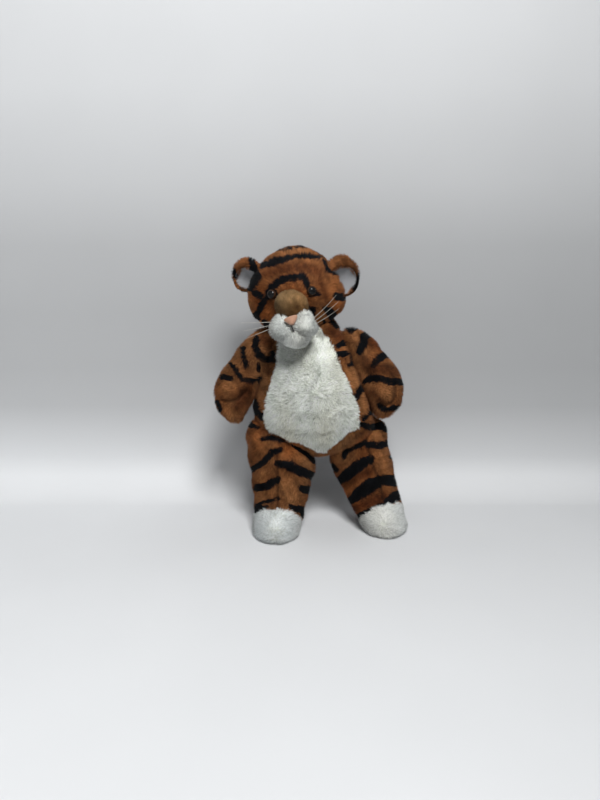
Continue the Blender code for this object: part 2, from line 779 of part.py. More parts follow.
def make_leg(word, side):
    """A leg that turns on its hip, with a white toe cap and a flat sole."""
    axis = add_axis("leg_axis_" + word, root, hip_centre(side))
    rings, foot_out = leg_rings(side)
    floor = half_space(
        "leg_floor_" + word, axis, (0, 0, SOLE_THICKNESS + GAP - HIP_HEIGHT), (0, 0, -1)
    )
    opening = rod("leg_opening_" + word, HIP_RADIUS * OPENING_SHARE, HIP_RADIUS)
    opening = add_cutter("leg_opening_" + word, opening, axis, (0, 0, HIP_RADIUS + OVERRUN))
    ahead = -TOE_SEAM
    toe = half_space("toe_side_" + word, axis, (0, ahead + GAP / 2, 0), (0, -1, 0))
    heel = half_space("heel_side_" + word, axis, (0, ahead - GAP / 2, 0), (0, 1, 0))
    above = half_space("ankle_side_" + word, axis, (0, 0, -HIP_RADIUS), (0, 0, 1))
    name = "leg_skin_" + word
    bag = skin(name, cage(name, rings, BODY_SIDES), plush, axis)
    cut(bag, floor, opening, toe)
    name = "toe_cap_" + word
    cap = skin(name, cage(name, rings, BODY_SIDES), white_plush, axis)
    cut(cap, floor, heel, above)
    name = "leg_filling_" + word
    cut(filling(name, cage(name, rings, BODY_SIDES), axis), floor)
    name = "sole_" + word
    turns = [2 * pi * k / 12 for k in range(12)]
    points = [(SOLE_WIDTH / 2 * cos(t), SOLE_LENGTH / 2 * sin(t)) for t in turns]
    mesh = flat_outline(name, points, SOLE_THICKNESS)
    spot = (foot_out, -SOLE_FORWARD, SOLE_THICKNESS / 2 - HIP_HEIGHT)
    add_piece(name, mesh, white_plush, axis, spot)


def tail_rings():
    """Rings square to the tail's own run, from its root on the back down to the tip."""
    sideways = Vector((1, 0, 0))
    spots = []
    for side, back, down, _ in TAIL_SPINE_SHARES:
        spots.append(Vector((-side * TAIL_SWAY, back * TAIL_REACH, -down * TAIL_DROP)))
    rings = []
    for k, (spot, shares) in enumerate(zip(spots, TAIL_SPINE_SHARES)):
        before = spots[max(k - 1, 0)]
        after = spots[min(k + 1, len(spots) - 1)]
        run = (after - before).normalized()
        across = (sideways - run * sideways.dot(run)).normalized()
        radius = TAIL_RADIUS * shares[3]
        rings.append((spot, across * radius, run.cross(across) * radius))
    return rings


def make_tail():
    """A stuffed tail with a black tip that turns on a flat seam on the torso's back."""
    root_spot = tail_seat() + Vector((0, GAP, 0))
    axis = add_axis("tail_axis", root, root_spot)
    seam = half_space("tail_seam", axis, (0, 0, 0), (0, -1, 0))
    rings = tail_rings()
    tip_centre = rings[-1][0]
    start = tip_centre + Vector((TAIL_TIP * sin(ARM_TILT), 0, TAIL_TIP * cos(ARM_TILT)))
    down = (tip_centre - start).normalized()
    below = half_space("tip_side", axis, start - down * GAP / 2, down)
    above = half_space("tail_side", axis, start + down * GAP / 2, -down)
    bag = skin("tail_skin", cage("tail_skin", rings, TAIL_SIDES), plush, axis)
    cut(bag, seam, below)
    tip = skin("tail_tip", cage("tail_tip", rings, TAIL_SIDES), black_plush, axis)
    cut(tip, above)
    core = filling("tail_filling", cage("tail_filling", rings, TAIL_SIDES), axis)
    cut(core, seam)


make_torso()
make_neck()
make_head()
make_snout()
make_mouth_stitch()
make_whiskers()
make_ears()
for side_word, side_sign in SIDES.items():
    make_arm(side_word, side_sign)
    make_leg(side_word, side_sign)
make_tail()
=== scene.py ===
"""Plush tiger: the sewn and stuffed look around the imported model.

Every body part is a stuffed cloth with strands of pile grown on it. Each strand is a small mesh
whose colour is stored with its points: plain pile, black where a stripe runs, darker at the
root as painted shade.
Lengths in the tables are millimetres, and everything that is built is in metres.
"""

import json
from math import cos, pi, radians, sin, tan

import bpy
import numpy as np
from mathutils import Euler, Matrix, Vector


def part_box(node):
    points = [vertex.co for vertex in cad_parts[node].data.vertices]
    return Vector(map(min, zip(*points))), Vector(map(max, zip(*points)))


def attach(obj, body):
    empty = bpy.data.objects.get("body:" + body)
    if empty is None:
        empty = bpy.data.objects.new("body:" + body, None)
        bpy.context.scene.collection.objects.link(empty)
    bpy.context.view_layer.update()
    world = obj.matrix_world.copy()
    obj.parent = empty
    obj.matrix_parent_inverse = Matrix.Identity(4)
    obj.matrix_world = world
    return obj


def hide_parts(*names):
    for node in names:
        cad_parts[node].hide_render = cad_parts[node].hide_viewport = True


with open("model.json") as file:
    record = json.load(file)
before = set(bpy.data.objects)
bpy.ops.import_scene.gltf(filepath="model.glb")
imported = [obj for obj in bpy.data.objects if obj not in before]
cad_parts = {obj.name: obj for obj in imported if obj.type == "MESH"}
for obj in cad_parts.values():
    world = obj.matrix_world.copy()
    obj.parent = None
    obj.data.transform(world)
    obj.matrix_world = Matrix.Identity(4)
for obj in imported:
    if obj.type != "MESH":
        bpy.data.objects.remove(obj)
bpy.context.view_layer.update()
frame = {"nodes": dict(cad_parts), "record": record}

bl_info = {
    "name": "Plush tiger",
    "version": (1, 0, 0),
    "blender": (4, 5, 0),
    "location": "3D View > Sidebar > Tiger",
    "description": "Builds the cloth, pile, face and stage of a plush tiger",
    "category": "Object",
}

MM = 0.001
JOINTS = {j["name"]: np.array(j["pos_m"]) for j in frame["record"]["behaviour"]["joints"]}
SIDES = {"left": -1, "right": 1}

# Camera: its distance from the point it looks at, and the picture that it takes
LOOK_AT = np.array((-0.018, 0.0, 0.175))
CAMERA_DISTANCE = 0.84
CAMERA_RISE = radians(12)
PICTURE = (600, 800)
FOCAL_PIXELS = 628

# Rings of the stuffed forms: x, y, z, half width, half depth. First and last are the poles.
TORSO = (
    (5.6, 2, 98, 0, 0),
    (5.6, 2, 100.5, 24, 18),
    (5.6, 1, 111, 52, 32),
    (4.4, 0, 123, 69, 42),
    (3.2, 0, 138, 79, 51),
    (0.8, 0, 166, 83, 58),
    (-1.6, 0, 198, 75, 54),
    (-4.0, 1, 227, 66, 48),
    (-7.5, 2, 250, 57, 40),
    (-9.7, 2, 264, 47, 32),
    (-9.7, 2, 273, 30, 20),
    (-9.7, 2, 276, 0, 0),
)
HEAD = (
    (0, 0, -56, 0, 0),
    (0, 0, -53, 26, 22),
    (0, 0, -43, 45, 38),
    (0, 0, -28, 60, 49),
    (-1, 0, -10, 64, 54),
    (-1, 0, 8, 60.5, 54.5),
    (-1, 0, 28, 49.5, 48),
    (0.5, 0, 44, 32.5, 34),
    (2, 0, 52.5, 15, 17),
    (2.5, 0, 55, 0, 0),
)
ARM = (
    (-8.2, 0, 39, 0, 0),
    (-8.2, 0, 36, 9, 9),
    (-6.2, 0, 27, 17, 17),
    (-3.2, 0, 14, 22, 21.5),
    (-0.2, -0.5, -8, 27, 25),
    (5.8, -3.4, -38, 30, 25),
    (9.8, -8.0, -62, 27.5, 26),
    (6.8, -10.6, -82, 22, 22),
    (2.8, -11.5, -93.5, 12, 12),
    (1.8, -11.6, -97, 0, 0),
)
LEG = {
    "left": (
        (-13, 0, 46, 0, 0),
        (-13, 0, 43, 19, 16),
        (-9.5, 0, 31, 36.5, 31),
        (-1.5, 0, 3, 44, 40.5),
        (2.0, -0.8, -20, 43.5, 40),
        (1.5, -2.5, -38, 41, 38),
        (-0.5, -8.5, -60, 37.5, 36),
        (-3.0, -19.0, -78, 34, 43),
        (-4.6, -25.5, -94, 32, 46),
        (-5.3, -26.0, -102, 29, 44),
        (-5.3, -26.0, -103.5, 0, 0),
    ),
    "right": (
        (10, 0, 43, 0, 0),
        (10, 0, 40, 17, 15),
        (5, 0, 27, 35, 31),
        (1, 0, 3, 42.5, 40.5),
        (6.0, -0.8, -20, 43, 40),
        (12.0, -2.5, -38, 41.5, 38),
        (20.0, -8.5, -60, 37.5, 36),
        (27.0, -19.0, -78, 34, 43),
        (33.8, -25.5, -94, 32, 46),
        (37.0, -26.0, -102, 29, 44),
        (37.6, -26.0, -103.5, 0, 0),
    ),
}
NECK = (
    (-11, 1, 236, 0, 0),
    (-11, 1, 240, 24, 20),
    (-11, 1, 253, 42, 34),
    (-11, 1, 266, 44, 36),
    (-11, 1, 280, 40, 33),
    (-11, 1, 290, 24, 20),
    (-11, 1, 293, 0, 0),
)
HEAD_PLACE = (-23, -4, 321)
HEAD_TURN = (3, -5, -6)
LEG_LEAN = {"left": -tan(radians(3)), "right": tan(radians(20))}
ARM_LENGTHS = {"left": 1.0, "right": 0.93}
ARM_TILT = radians(20)
ARM_SEAM = 18.0
THIGH_HOLLOW = 39.0
THIGH_SWING = radians(45)
TAIL_SEAT = (2, 51.6, 142)
TAIL = (
    (0, -7.8, 0, 10.5),
    (0, 5.2, 0, 12.5),
    (-5.6, 20.8, -15.7, 12.5),
    (-22.4, 26.0, -50.4, 12.2),
    (-44.8, 26.0, -87.4, 12.2),
    (-60.5, 25.0, -105.3, 10.5),
    (-67.2, 24.2, -109.8, 5.6),
)

# Face, in the head's own frame
EYE = (24.2, 0.6)
BRIDGE = ((-2.2, -50, -15.2), (20.4, 17.5, 20.4), (22, 0, 0))
LOBE_TAPER = 0.36
LOBE = ((13.2, -61.5, -37.5), (15.8, 18.5, 15.5), (0, 13, 0))
LOBE_SLIP = 1.2
CHIN = ((0, -55, -48.8), (21.5, 26, 16), (0, 0, 0))
NOSE = ((-0.3, -75.5, -30.2), (10.2, 5, 5.4), (-22, -15, 0))
EAR_PLACE = {"left": (-58.5, -5, 24.0), "right": (59.0, -5, 12.5)}
EAR_TURN = 28
EAR_RADIUS = 24.0
EAR_HEIGHTS = {"left": 0.88, "right": 1.10}
EAR_OPENING = ((1.2, -5.6), (18.0, 15.6))
# The ear from the middle of its back, over the rim, to the middle of its cup: share of the way
# from the outer circle to the opening, share of that radius, and depth
EAR_PROFILE = (
    (0, 0, 7.5),
    (0, 0.4, 7.2),
    (0, 0.75, 5.4),
    (0, 0.95, 1.8),
    (0, 1, -2.0),
    (0.3, 1, -5.6),
    (0.7, 1, -7.0),
    (1, 1, -5.0),
    (1, 0.9, -1.0),
    (1, 0.5, 2.2),
    (1, 0, 3.0),
)

# Painted light and shade on the studio paper: height in metres and share of white, darkest at the
# tiger's height and paler on the floor and high up
PAPER_PAINTED_LIGHT = (
    (0.00, 0.75), (0.03, 0.77), (0.08, 0.62), (0.14, 0.46), (0.20, 0.42), (0.28, 0.41),
    (0.38, 0.43), (0.47, 0.51), (0.60, 0.59), (0.72, 0.62), (0.90, 0.66),
)
# And by how much its painted light falls from left to right, for each metre
PAPER_PAINTED_FALL = 0.34
# The paper's reach each way, the radius of its bend and where its wall stands, in metres
SHEET_REACH = 2.6
SHEET_BEND = 0.06
SHEET_WALL = 0.122
# Lamps: place and width in metres, and watts
LAMPS = {
    "key_lamp": ((0.22, -1.18, 1.44), 0.62, 29.0),
    "fill_lamp": ((-0.9, -1.5, 0.7), 1.4, 2.0),
}
LAMPS_LOOK_AT = (0.0, 0.0, 0.18)

# Cloth: how dark it is painted beside its pile, which is painted shade under the pile, its darkest
# value, and its soft dents in metres
CLOTH_SHADE = 0.5
DARKEST = 0.002
DENT_DEPTH = 0.5 * MM
DENT_SIZE = 11 * MM
# White cloth under white pile, and bare under a foot, is this much brighter than its colour
# before the cloth's shade is applied
WHITE_BACKING = 1.5
WHITE_UNDERSIDE = 1.4
# How deep a limb's front seam is drawn in, in millimetres
SEAM_DEPTHS = {"arm": 5.0, "leg": 2.6}
# How far cloth ends before the plane of the seam between torso and arm, on either side
SEAM_GAP = 1.0 * MM
# Feet, in metres: cloth's lowest place, the height that toes end under, a sole's bare edge
FOOT_FLOOR = 2.4 * MM
TOE_TOP = 0.075
SOLE_EDGE = 4.5 * MM
# Whiskers from the top one down: angles above level, and lengths as a share of the longest
WHISKER_LIFTS = {"left": (3, -6, -15), "right": (36, 31, 25)}
WHISKER_LENGTHS = (1, 0.96, 0.88)

# Stripes: (across, down, width) in pixels of the picture that the camera takes
STRIPES = {
    "head": (
        ((281.8, 249, 1.6), (291.4, 248, 1.6)),
        ((296.2, 246.5, 1.9), (303.7, 246, 1.9), (311.3, 247.6, 1.9), (320.2, 251.5, 1.9)),
        (
            (259.2, 266.3, 4.1), (266.7, 264.2, 6), (276.3, 260.8, 6.9), (287.3, 257.6, 6),
            (294.1, 255.8, 3.8), (303.7, 255.3, 4.7), (310.6, 256.4, 4.4), (319.5, 256.9, 2.2),
        ),
        (
            (267, 293.3, 5.5), (271.5, 286, 6.3), (279, 280.2, 7.1), (287.3, 277.8, 6.6),
            (298.2, 276.4, 6.9), (304, 276.1, 6.3), (306.7, 281.6, 5.5), (308.5, 287.8, 4.1),
        ),
        (
            (323.6, 256.3, 3), (325.9, 263.1, 4.7), (327.4, 268.3, 4.7), (333.2, 271.5, 3.6),
            (340.1, 274.8, 3), (343.8, 280.9, 2.2),
        ),
        ((255, 258.6, 8.2), (254.6, 265.9, 8.5), (254.6, 274.1, 7.7)),
        ((257.8, 276.1, 6.9), (253.3, 282.3, 7.7), (250.5, 288.8, 4.1)),
        ((255, 293.3, 6), (259.2, 295.3, 6.9)),
        (
            (265.3, 298.8, 4.1), (262.3, 304.2, 6.3), (258.8, 310.4, 6.3), (255.2, 315.2, 5.5),
            (258.2, 318.9, 3.3),
        ),
        ((264.2, 321.7, 4.1), (267, 324.8, 6), (267.4, 329.6, 4.1)),
        ((336.9, 296.4, 6.9), (342.8, 297.4, 6.6)),
        ((325.4, 309, 4.9), (330.5, 312.9, 8.5), (334.3, 318.4, 8.2), (332.5, 324.1, 4.7)),
        ((309.5, 309.7, 5.5), (314, 309, 4.7), (313.3, 313.8, 4.1)),
        ((324, 320.7, 2.5), (325.7, 328.2, 4.1)),
        ((271.5, 294.3, 11),),
        ((312.9, 291.8, 10.5), (318.6, 294.2, 3.3)),
    ),
    "ears": (
        ((233.1, 270.9, 4.9), (235.9, 276.1, 4.7)),
        ((251.3, 259, 5.5), (253.3, 266.5, 7.7), (253.3, 275, 6.9)),
        ((360.2, 276.8, 6), (357.5, 283, 6.9), (354.5, 288.5, 4.1)),
        ((250.9, 278.9, 6.9), (250.2, 288.8, 5.5)),
    ),
    "torso": (
        ((254.3, 399.6, 4.6), (255.5, 410.3, 6.1), (262.4, 418, 5.5)),
        ((364.9, 381.2, 5.5), (361.4, 389.6, 6.1), (356.5, 397.8, 5.2)),
        ((338.2, 346, 4.6), (346.6, 341.4, 6.7)),
        ((337.4, 354, 5.8), (345.5, 353.7, 6.1)),
        ((351.2, 348.3, 4.6), (354.2, 355.5, 6.7), (355.3, 362.1, 6.7), (348.9, 365.6, 3.1)),
        ((374, 402.7, 2.8), (372.1, 411.8, 3.4), (364.5, 418.7, 4)),
        ((262.4, 358.3, 6.1), (273.1, 360.1, 6.1), (272.3, 352.9, 4)),
        ((329, 317, 6), (337.5, 325, 7)),
        ((359.3, 424.4, 4.6), (370.3, 427.4, 6.1), (380, 425.6, 6.5)),
    ),
    "arm_left": (
        ((242.2, 348.3, 4.6), (243.3, 356.7, 5.5), (246, 365.9, 4.6), (245.1, 368.2, 2.4)),
        (
            (255.8, 337.6, 5.5), (254.7, 346, 6.7), (257.8, 353.7, 7.7), (263.9, 358.3, 6.7),
            (273.1, 360.1, 5.5),
        ),
        (
            (230.3, 363.6, 2.4), (236.4, 371.3, 3.4), (241.7, 378.9, 4.6), (249.4, 381.5, 5.2),
            (257.8, 380.9, 4.6), (261.9, 378.2, 3.1),
        ),
        ((221.5, 376.9, 4.6), (230.3, 378.5, 3.7)),
        ((217.6, 401.9, 3.7), (220, 409.5, 3.4)),
        ((258.6, 363.6, 2.4), (258.9, 370.5, 2.8)),
    ),
    "arm_right": (
        ((348.1, 326.9, 5.2), (355.3, 327.3, 5.2), (349.6, 331.3, 2.8)),
        ((371.1, 333.5, 6.7), (364.9, 336.8, 8.6), (363.9, 343.7, 8.3), (359.6, 351.4, 6.7)),
        ((391, 354.4, 5.2), (383.3, 355.2, 6.1), (376.4, 362.1, 6.7), (373.4, 366.2, 4)),
        (
            (404, 382, 6.7), (392.5, 381.5, 7), (381, 378.9, 6.7), (371.8, 378.5, 5.5),
            (364.9, 381.2, 5.5),
        ),
        ((378, 405.7, 3.7), (387.1, 410.6, 5.2), (398.2, 407.6, 4.6)),
    ),
    "leg_left": (
        ((247.6, 420.3, 4.6), (250.9, 425.6, 4.6), (257.8, 427.4, 2.8)),
        (
            (261.9, 439.1, 3.1), (270.8, 438.2, 5.2), (280, 439.1, 5.5), (290.7, 442.4, 4),
            (303, 450.4, 6.1), (315.5, 459.6, 8.6),
        ),
        (
            (251.4, 469.2, 6.1), (258.6, 465.7, 5.8), (266.2, 459.6, 5.8), (272.7, 452.6, 6.1),
            (280.3, 450.1, 4.6),
        ),
        ((278.2, 463.9, 6.1), (290.7, 466.3, 9.5), (301.4, 471.8, 9.5), (313.1, 476.4, 7.7)),
        ((256.7, 488.4, 6.7), (266.2, 486.8, 7.7), (272.3, 483.2, 7.7), (278.2, 479.5, 5.2)),
        ((302.2, 489.1, 6.1), (309.1, 490.2, 9.2)),
        ((256.7, 505.5, 2.8), (266.2, 501.5, 3.4), (278.8, 498.5, 2.8)),
        ((255.2, 515.2, 7.7), (257.3, 510.1, 7), (265.5, 506, 4)),
        ((290.7, 506, 3.7), (303, 511, 7.7), (305.3, 515.9, 6.1)),
    ),
    "leg_right": (
        ((359.3, 424.4, 4.6), (370.3, 427.4, 6.1), (381, 425.6, 7), (387.4, 429.4, 5.5)),
        ((343.5, 457, 5.2), (346.1, 449.3, 7.7), (355, 445.2, 8), (364.5, 442.4, 6.1)),
        ((368.5, 444.7, 5.5), (378, 446.4, 7), (387.8, 443.4, 6.1)),
        ((339.7, 481.5, 6.1), (347.3, 474.9, 11.3), (356.5, 467.2, 11.6), (370.6, 459, 8.3)),
        (
            (349.6, 501.4, 6.1), (359.6, 493.3, 12.9), (370.3, 486.1, 13.5), (381, 481, 10.1),
            (397.2, 480.4, 11),
        ),
        ((387.4, 500.9, 6.1), (393.3, 497.9, 9.2), (400.3, 493.9, 9.2)),
        ((357.8, 518.4, 6.7), (368.8, 511, 5.8), (387.1, 503.7, 3.4)),
        ((332.8, 465.4, 3.4), (336, 470.3, 4)),
        ((391.1, 456.5, 3.7),),
    ),
}
# Painted shade and painted light: a factor on the colour and, for each part, soft strokes like the
# stripes. The first set darkens as painted shade, the second lightens as painted light
PAINTED_SHADE_AND_LIGHT = (
    ((0.46, 0.38, 0.34), {
        "head": (
            ((266, 274, 7), (284, 268, 10), (304, 266, 10), (319, 271, 8)),
            ((320, 280, 5), (326, 296, 6)),
        ),
        "torso": (
            ((331, 331, 9), (341, 337, 9)),
            ((266, 352, 7), (268, 372, 6)),
        ),
        "arm_left": (
            ((262, 338, 9), (272, 344, 12)),
            ((250, 386, 9), (243, 398, 14), (237, 408, 8)),
        ),
        "arm_right": (
            ((364, 361, 9), (370, 372, 9)),
            ((370, 342, 7), (385, 347, 8)),
            ((378, 370, 10), (399, 371, 12)),
            ((372, 393, 7), (380, 402, 6)),
        ),
        "leg_right": (
            ((345, 482, 5), (370, 472, 7)),
            ((354, 509, 7), (384, 497, 9)),
        ),
        "leg_left": (((262, 431, 4), (292, 438, 5)),),
        "ears": (((356, 265, 4), (361, 276, 4)),),
    }),
    ((1.55, 1.60, 1.60), {
        "head": (
            ((252, 293, 4), (250, 303, 6)),
            ((267, 313, 7), (270, 318, 5)),
            ((335, 285, 8), (339, 306, 6)),
        ),
        "torso": (
            ((349, 371, 8), (356, 384, 6)),
            ((366, 395, 8), (366, 412, 7)),
        ),
        "arm_left": (
            ((224, 388, 9), (232, 386, 9)),
            ((226, 412, 6), (232, 417, 6)),
        ),
        "arm_right": (((380, 389, 8), (388, 398, 8)),),
        "leg_left": (
            ((258, 436, 9), (262, 448, 9)),
            ((284, 452, 6), (306, 462, 6)),
            ((262, 474, 9), (262, 496, 7)),
            ((286, 484, 10), (292, 498, 10)),
        ),
        "leg_right": (
            ((340, 448, 8), (338, 458, 5)),
            ((378, 436, 7), (366, 436, 6)),
            ((380, 455, 9), (386, 472, 8)),
            ((352, 487, 4), (346, 493, 5)),
        ),
    }),
)
SEAMS = {
    "leg_left": ((277.2, 455), (277.6, 479.2), (277.9, 506)),
    "leg_right": ((360.8, 422.2), (367.2, 442.4), (371.5, 462.3), (378, 476.1), (384, 500)),
    "arm_left": ((221, 399), (229, 401.5), (238, 399), (245, 389)),
    "arm_right": ((380, 404.7), (391, 402.6), (395, 396), (394.6, 386)),
}
BELLY_OUTLINE = (
    (276.9, 343), (274.6, 364.4), (269.3, 381.2), (264.7, 399.6), (262.4, 414.9),
    (264.7, 427.1), (269.3, 433.3), (284.6, 439.4), (298.4, 444), (309.1, 448.6),
    (318.3, 454), (326.4, 454), (338.2, 444), (350.4, 433.3), (359.6, 427.1),
    (360.4, 411.8), (355.8, 396.5), (347.3, 376.6), (339.7, 359.8), (335.1, 347.6),
    (327.4, 333.8), (322, 322), (276, 322),
)
BELLY_INSET = 3.0
BELLY_EDGE = 7.0
TOE_OUTLINES = {
    "left": (
        (249, 524), (255, 516.5), (262, 512.5), (272, 510), (283, 510.5),
        (293, 514), (301, 521), (305, 530), (304, 546), (294, 562),
        (268, 564), (250, 552), (247, 536),
    ),
    "right": (
        (361.5, 521), (366, 515), (376, 508.5), (388, 504.5), (398, 504),
        (405, 510), (412, 520), (416, 532), (414, 548), (400, 560),
        (378, 558), (360, 542),
    ),
}
# Parts whose back stripes are wrapped round an axis along X: its y and z, and a radius
BACK_WRAP = {"head": (HEAD_PLACE[1], HEAD_PLACE[2], 54)}
# The back's stripes: (x, z, width) in millimetres, seen through the tiger from the front.
# Where they are wrapped, z is measured along the curve from the height of the axis.
BACK_STRIPES = {
    "torso": (
        ((-78, 130, 9), (-50, 122, 10), (-22, 124, 5)),
        ((84, 128, 9), (52, 134, 10), (24, 129, 5)),
        ((-84, 160, 10), (-52, 150, 12), (-18, 152, 6)),
        ((84, 158, 10), (50, 163, 12), (14, 158, 6)),
        ((-80, 190, 9), (-48, 181, 12), (-14, 184, 5)),
        ((80, 186, 9), (46, 192, 12), (8, 187, 6)),
        ((-68, 216, 8), (-42, 209, 10), (-16, 212, 5)),
        ((66, 214, 8), (40, 219, 10), (10, 214, 5)),
        ((-54, 240, 7), (-30, 234, 9), (-6, 238, 5)),
        ((44, 241, 7), (22, 243, 8), (2, 240, 4)),
    ),
    "head": (
        ((-70, 300, 6), (-48, 306, 10), (-26, 301, 6)),
        ((26, 296, 6), (12, 303, 10), (-12, 300, 6)),
        ((-78, 326, 6), (-50, 331, 11), (-28, 326, 6)),
        ((34, 322, 6), (10, 330, 11), (-14, 326, 6)),
        ((-66, 350, 6), (-42, 354, 10), (-22, 350, 5)),
        ((24, 349, 6), (4, 355, 10), (-14, 351, 5)),
        ((-48, 374, 5), (-24, 378, 9), (-2, 373, 5)),
        ((-46, 411, 6), (-29, 416, 8)),
        ((-21, 414, 8), (10, 407, 8)),
        ((-62, 280, 5), (-40, 283, 8), (-26, 279, 5)),
        ((14, 278, 5), (-2, 282, 8), (-16, 278, 5)),
    ),
}
# A normal's height below which a foot's cloth has no pile
UNDERSIDE = -0.93
TAIL_RINGS = (0.18, 0.34, 0.50, 0.66)
TAIL_TIP_START = 0.80


# Settings that a user would change

def colour_setting(name, words, value):
    """A colour in linear light with its name and description."""
    return bpy.props.FloatVectorProperty(
        name=name, description=words, default=value, subtype="COLOR", size=3, min=0, max=1
    )


def length_setting(name, words, value):
    """A length in metres with its name and description."""
    return bpy.props.FloatProperty(
        name=name, description=words, default=value, unit="LENGTH", min=0, precision=4
    )


class TigerColours(bpy.types.PropertyGroup):
    """Colours of the pile, the cloth and the small parts of the face."""

    orange: colour_setting("Orange pile", "Tips of the orange pile", (0.335, 0.127, 0.043))
    black: colour_setting("Black pile", "The stripes", (0.003, 0.0033, 0.005))
    white: colour_setting("White pile", "Belly, muzzle and toes", (0.88, 0.905, 0.800))
    tan: colour_setting("Tan pile", "Short pile on the bridge of the nose", (0.300, 0.195, 0.095))
    lining: colour_setting("Ear lining", "Smooth cloth in the ears", (0.215, 0.22, 0.23))
    nose: colour_setting("Nose", "Velour of the nose", (0.40, 0.215, 0.137))
    nylon: colour_setting("Whiskers", "Nylon bristles", (0.72, 0.68, 0.60))
    paper: colour_setting("Paper", "Tint of the studio paper", (0.97, 0.985, 1.0))


class TigerPile(bpy.types.PropertyGroup):
    """Lengths and thickness of the pile on each part."""

    body: length_setting("Body pile", "Strand length on torso, arms, legs and tail", 0.0056)
    head: length_setting("Head pile", "Strand length on the head", 0.0050)
    ear: length_setting("Ear pile", "Strand length on the ears", 0.0046)
    belly: length_setting("Belly pile", "Strand length on the belly", 0.0086)
    muzzle: length_setting("Muzzle pile", "Strand length on muzzle and chin", 0.0066)
    toe: length_setting("Toe pile", "Strand length on the toes", 0.0062)
    bridge: length_setting("Bridge pile", "Strand length on the bridge of the nose", 0.0032)
    strand: length_setting("Strand", "Radius of a strand at its root", 0.00034)
    cloth_depth: length_setting("Cloth depth", "Depth of the cloth below the tips", 0.0042)
    per_mm2: bpy.props.FloatProperty(
        name="Strands", description="Strands for each square millimetre of cloth", default=1.7,
        min=0.05, max=4,
    )


class TigerFace(bpy.types.PropertyGroup):
    """Sizes of the eyes and the whiskers."""

    eye_radius: length_setting("Eye radius", "Radius of an eye", 0.0060)
    eye_bulge: length_setting("Eye bulge", "How far an eye stands out", 0.0050)
    whisker_length: length_setting("Whisker length", "Length of the longest whisker", 0.040)
    whisker_radius: length_setting("Whisker radius", "Radius of a whisker", 0.00028)


# Surfaces

def read_along(table, steps):
    """Rows read along a smooth curve through the rows of a table of rings.

    Between rows i and i+1 each column is the cubic whose slope at a row is half the step from
    the row before to the row after. Past a pole the neighbour ring is taken with its radii
    negated, so that the form closes round.
    """
    rows = np.array(table, float)
    before, after = rows[1].copy(), rows[-2].copy()
    before[3:] *= -1
    after[3:] *= -1
    padded = np.vstack((before, rows, after))
    turns = np.linspace(0, pi, steps + 1)
    place = (1 - np.cos(turns)) / 2 * (len(rows) - 1)
    place = 0.35 * place + 0.65 * np.linspace(0, len(rows) - 1, steps + 1)
    base = np.minimum(place.astype(int), len(rows) - 2)
    f = (place - base)[:, None]
    a, b, c, d = (padded[base + k] for k in range(4))
    return 0.5 * (2 * b + (c - a) * f + (2 * a - 5 * b + 4 * c - d) * f**2
                  + (3 * b - a - 3 * c + d) * f**3)


class Form:
    """A stuffed form: elliptical rings along its own Z, turned and moved to its place."""

    def __init__(self, table, place=(0, 0, 0), turn=(0, 0, 0), mirror=1):
        self.table = [(mirror * x, y, z, wide, deep) for x, y, z, wide, deep in table]
        self.place = np.array(place, float)
        self.axes = np.array(Euler([radians(a) for a in turn]).to_matrix())
        dense = read_along(self.table, 120)
        self.rings = dense[np.argsort(dense[:, 2], kind="stable")]

    def world(self, local):
        """Local millimetres to metres in the row frame."""
        return (local @ self.axes.T + self.place) * MM

    def local(self, points):
        """Metres in the row frame to local millimetres."""
        return (points / MM - self.place) @ self.axes

    def surface(self, steps, sides):
        """Ring i, angle t: centre plus half width times cos t along X, half depth sin t along Y."""
        rows = read_along(self.table, steps)
        turns = np.linspace(0, 2 * pi, sides, endpoint=False)
        local = np.empty((steps + 1, sides, 3))
        local[..., 0] = rows[:, None, 0] + rows[:, None, 3] * np.cos(turns)
        local[..., 1] = rows[:, None, 1] + rows[:, None, 4] * np.sin(turns)
        local[..., 2] = rows[:, None, 2]
        return self.world(local)

    def inside(self, points, grow=0.0):
        """True where a point lies within the rings, grown by some millimetres."""
        spots = self.local(points)
        heights = self.rings[:, 2]
        x0, y0, wide, deep = (np.interp(spots[:, 2], heights, self.rings[:, k]) for k in (0, 1, 3, 4))
        wide = np.maximum(np.abs(wide) + grow, 0.01)
        deep = np.maximum(np.abs(deep) + grow, 0.01)
        level = (spots[:, 2] > heights[0] - grow) & (spots[:, 2] < heights[-1] + grow)
        return level & (np.hypot((spots[:, 0] - x0) / wide, (spots[:, 1] - y0) / deep) < 1)


def egg_table(radii, taper=0.0):
    """Rings of an egg: half width times the sine, height times the cosine; taper narrows its top."""
    wide, deep, high = radii
    rows = []
    for k in range(9):
        turn = pi * k / 8
        size = sin(turn) * (1 - taper * cos(turn))
        rows.append((0, 0, high * cos(turn), wide * size, deep * size))
    return rows


def head_egg(shape, side=1, taper=0.0, slip=0.0):
    """An egg placed in the head's own frame; the slip raises it on the right."""
    place, radii, turn = shape
    spot = HEAD_FORM.world(np.array((side * place[0], place[1], place[2] + side * slip))) / MM
    form = Form(egg_table(radii, taper), spot)
    own = np.array(Euler((radians(turn[0]), radians(side * turn[1]), radians(turn[2]))).to_matrix())
    form.axes = HEAD_FORM.axes @ own
    return form


HEAD_FORM = Form(HEAD, HEAD_PLACE, HEAD_TURN)
TORSO_FORM = Form(TORSO)
NECK_FORM = Form(NECK)


def leg_form(word, inset=0.0):
    """The leg's rings, hung at the hip, each narrower all round by an inset."""
    table = [(x, y, z, max(wide - inset, 0), max(deep - inset, 0))
             for x, y, z, wide, deep in LEG[word]]
    return Form(table, JOINTS[f"leg_{word}_swing"] / MM)


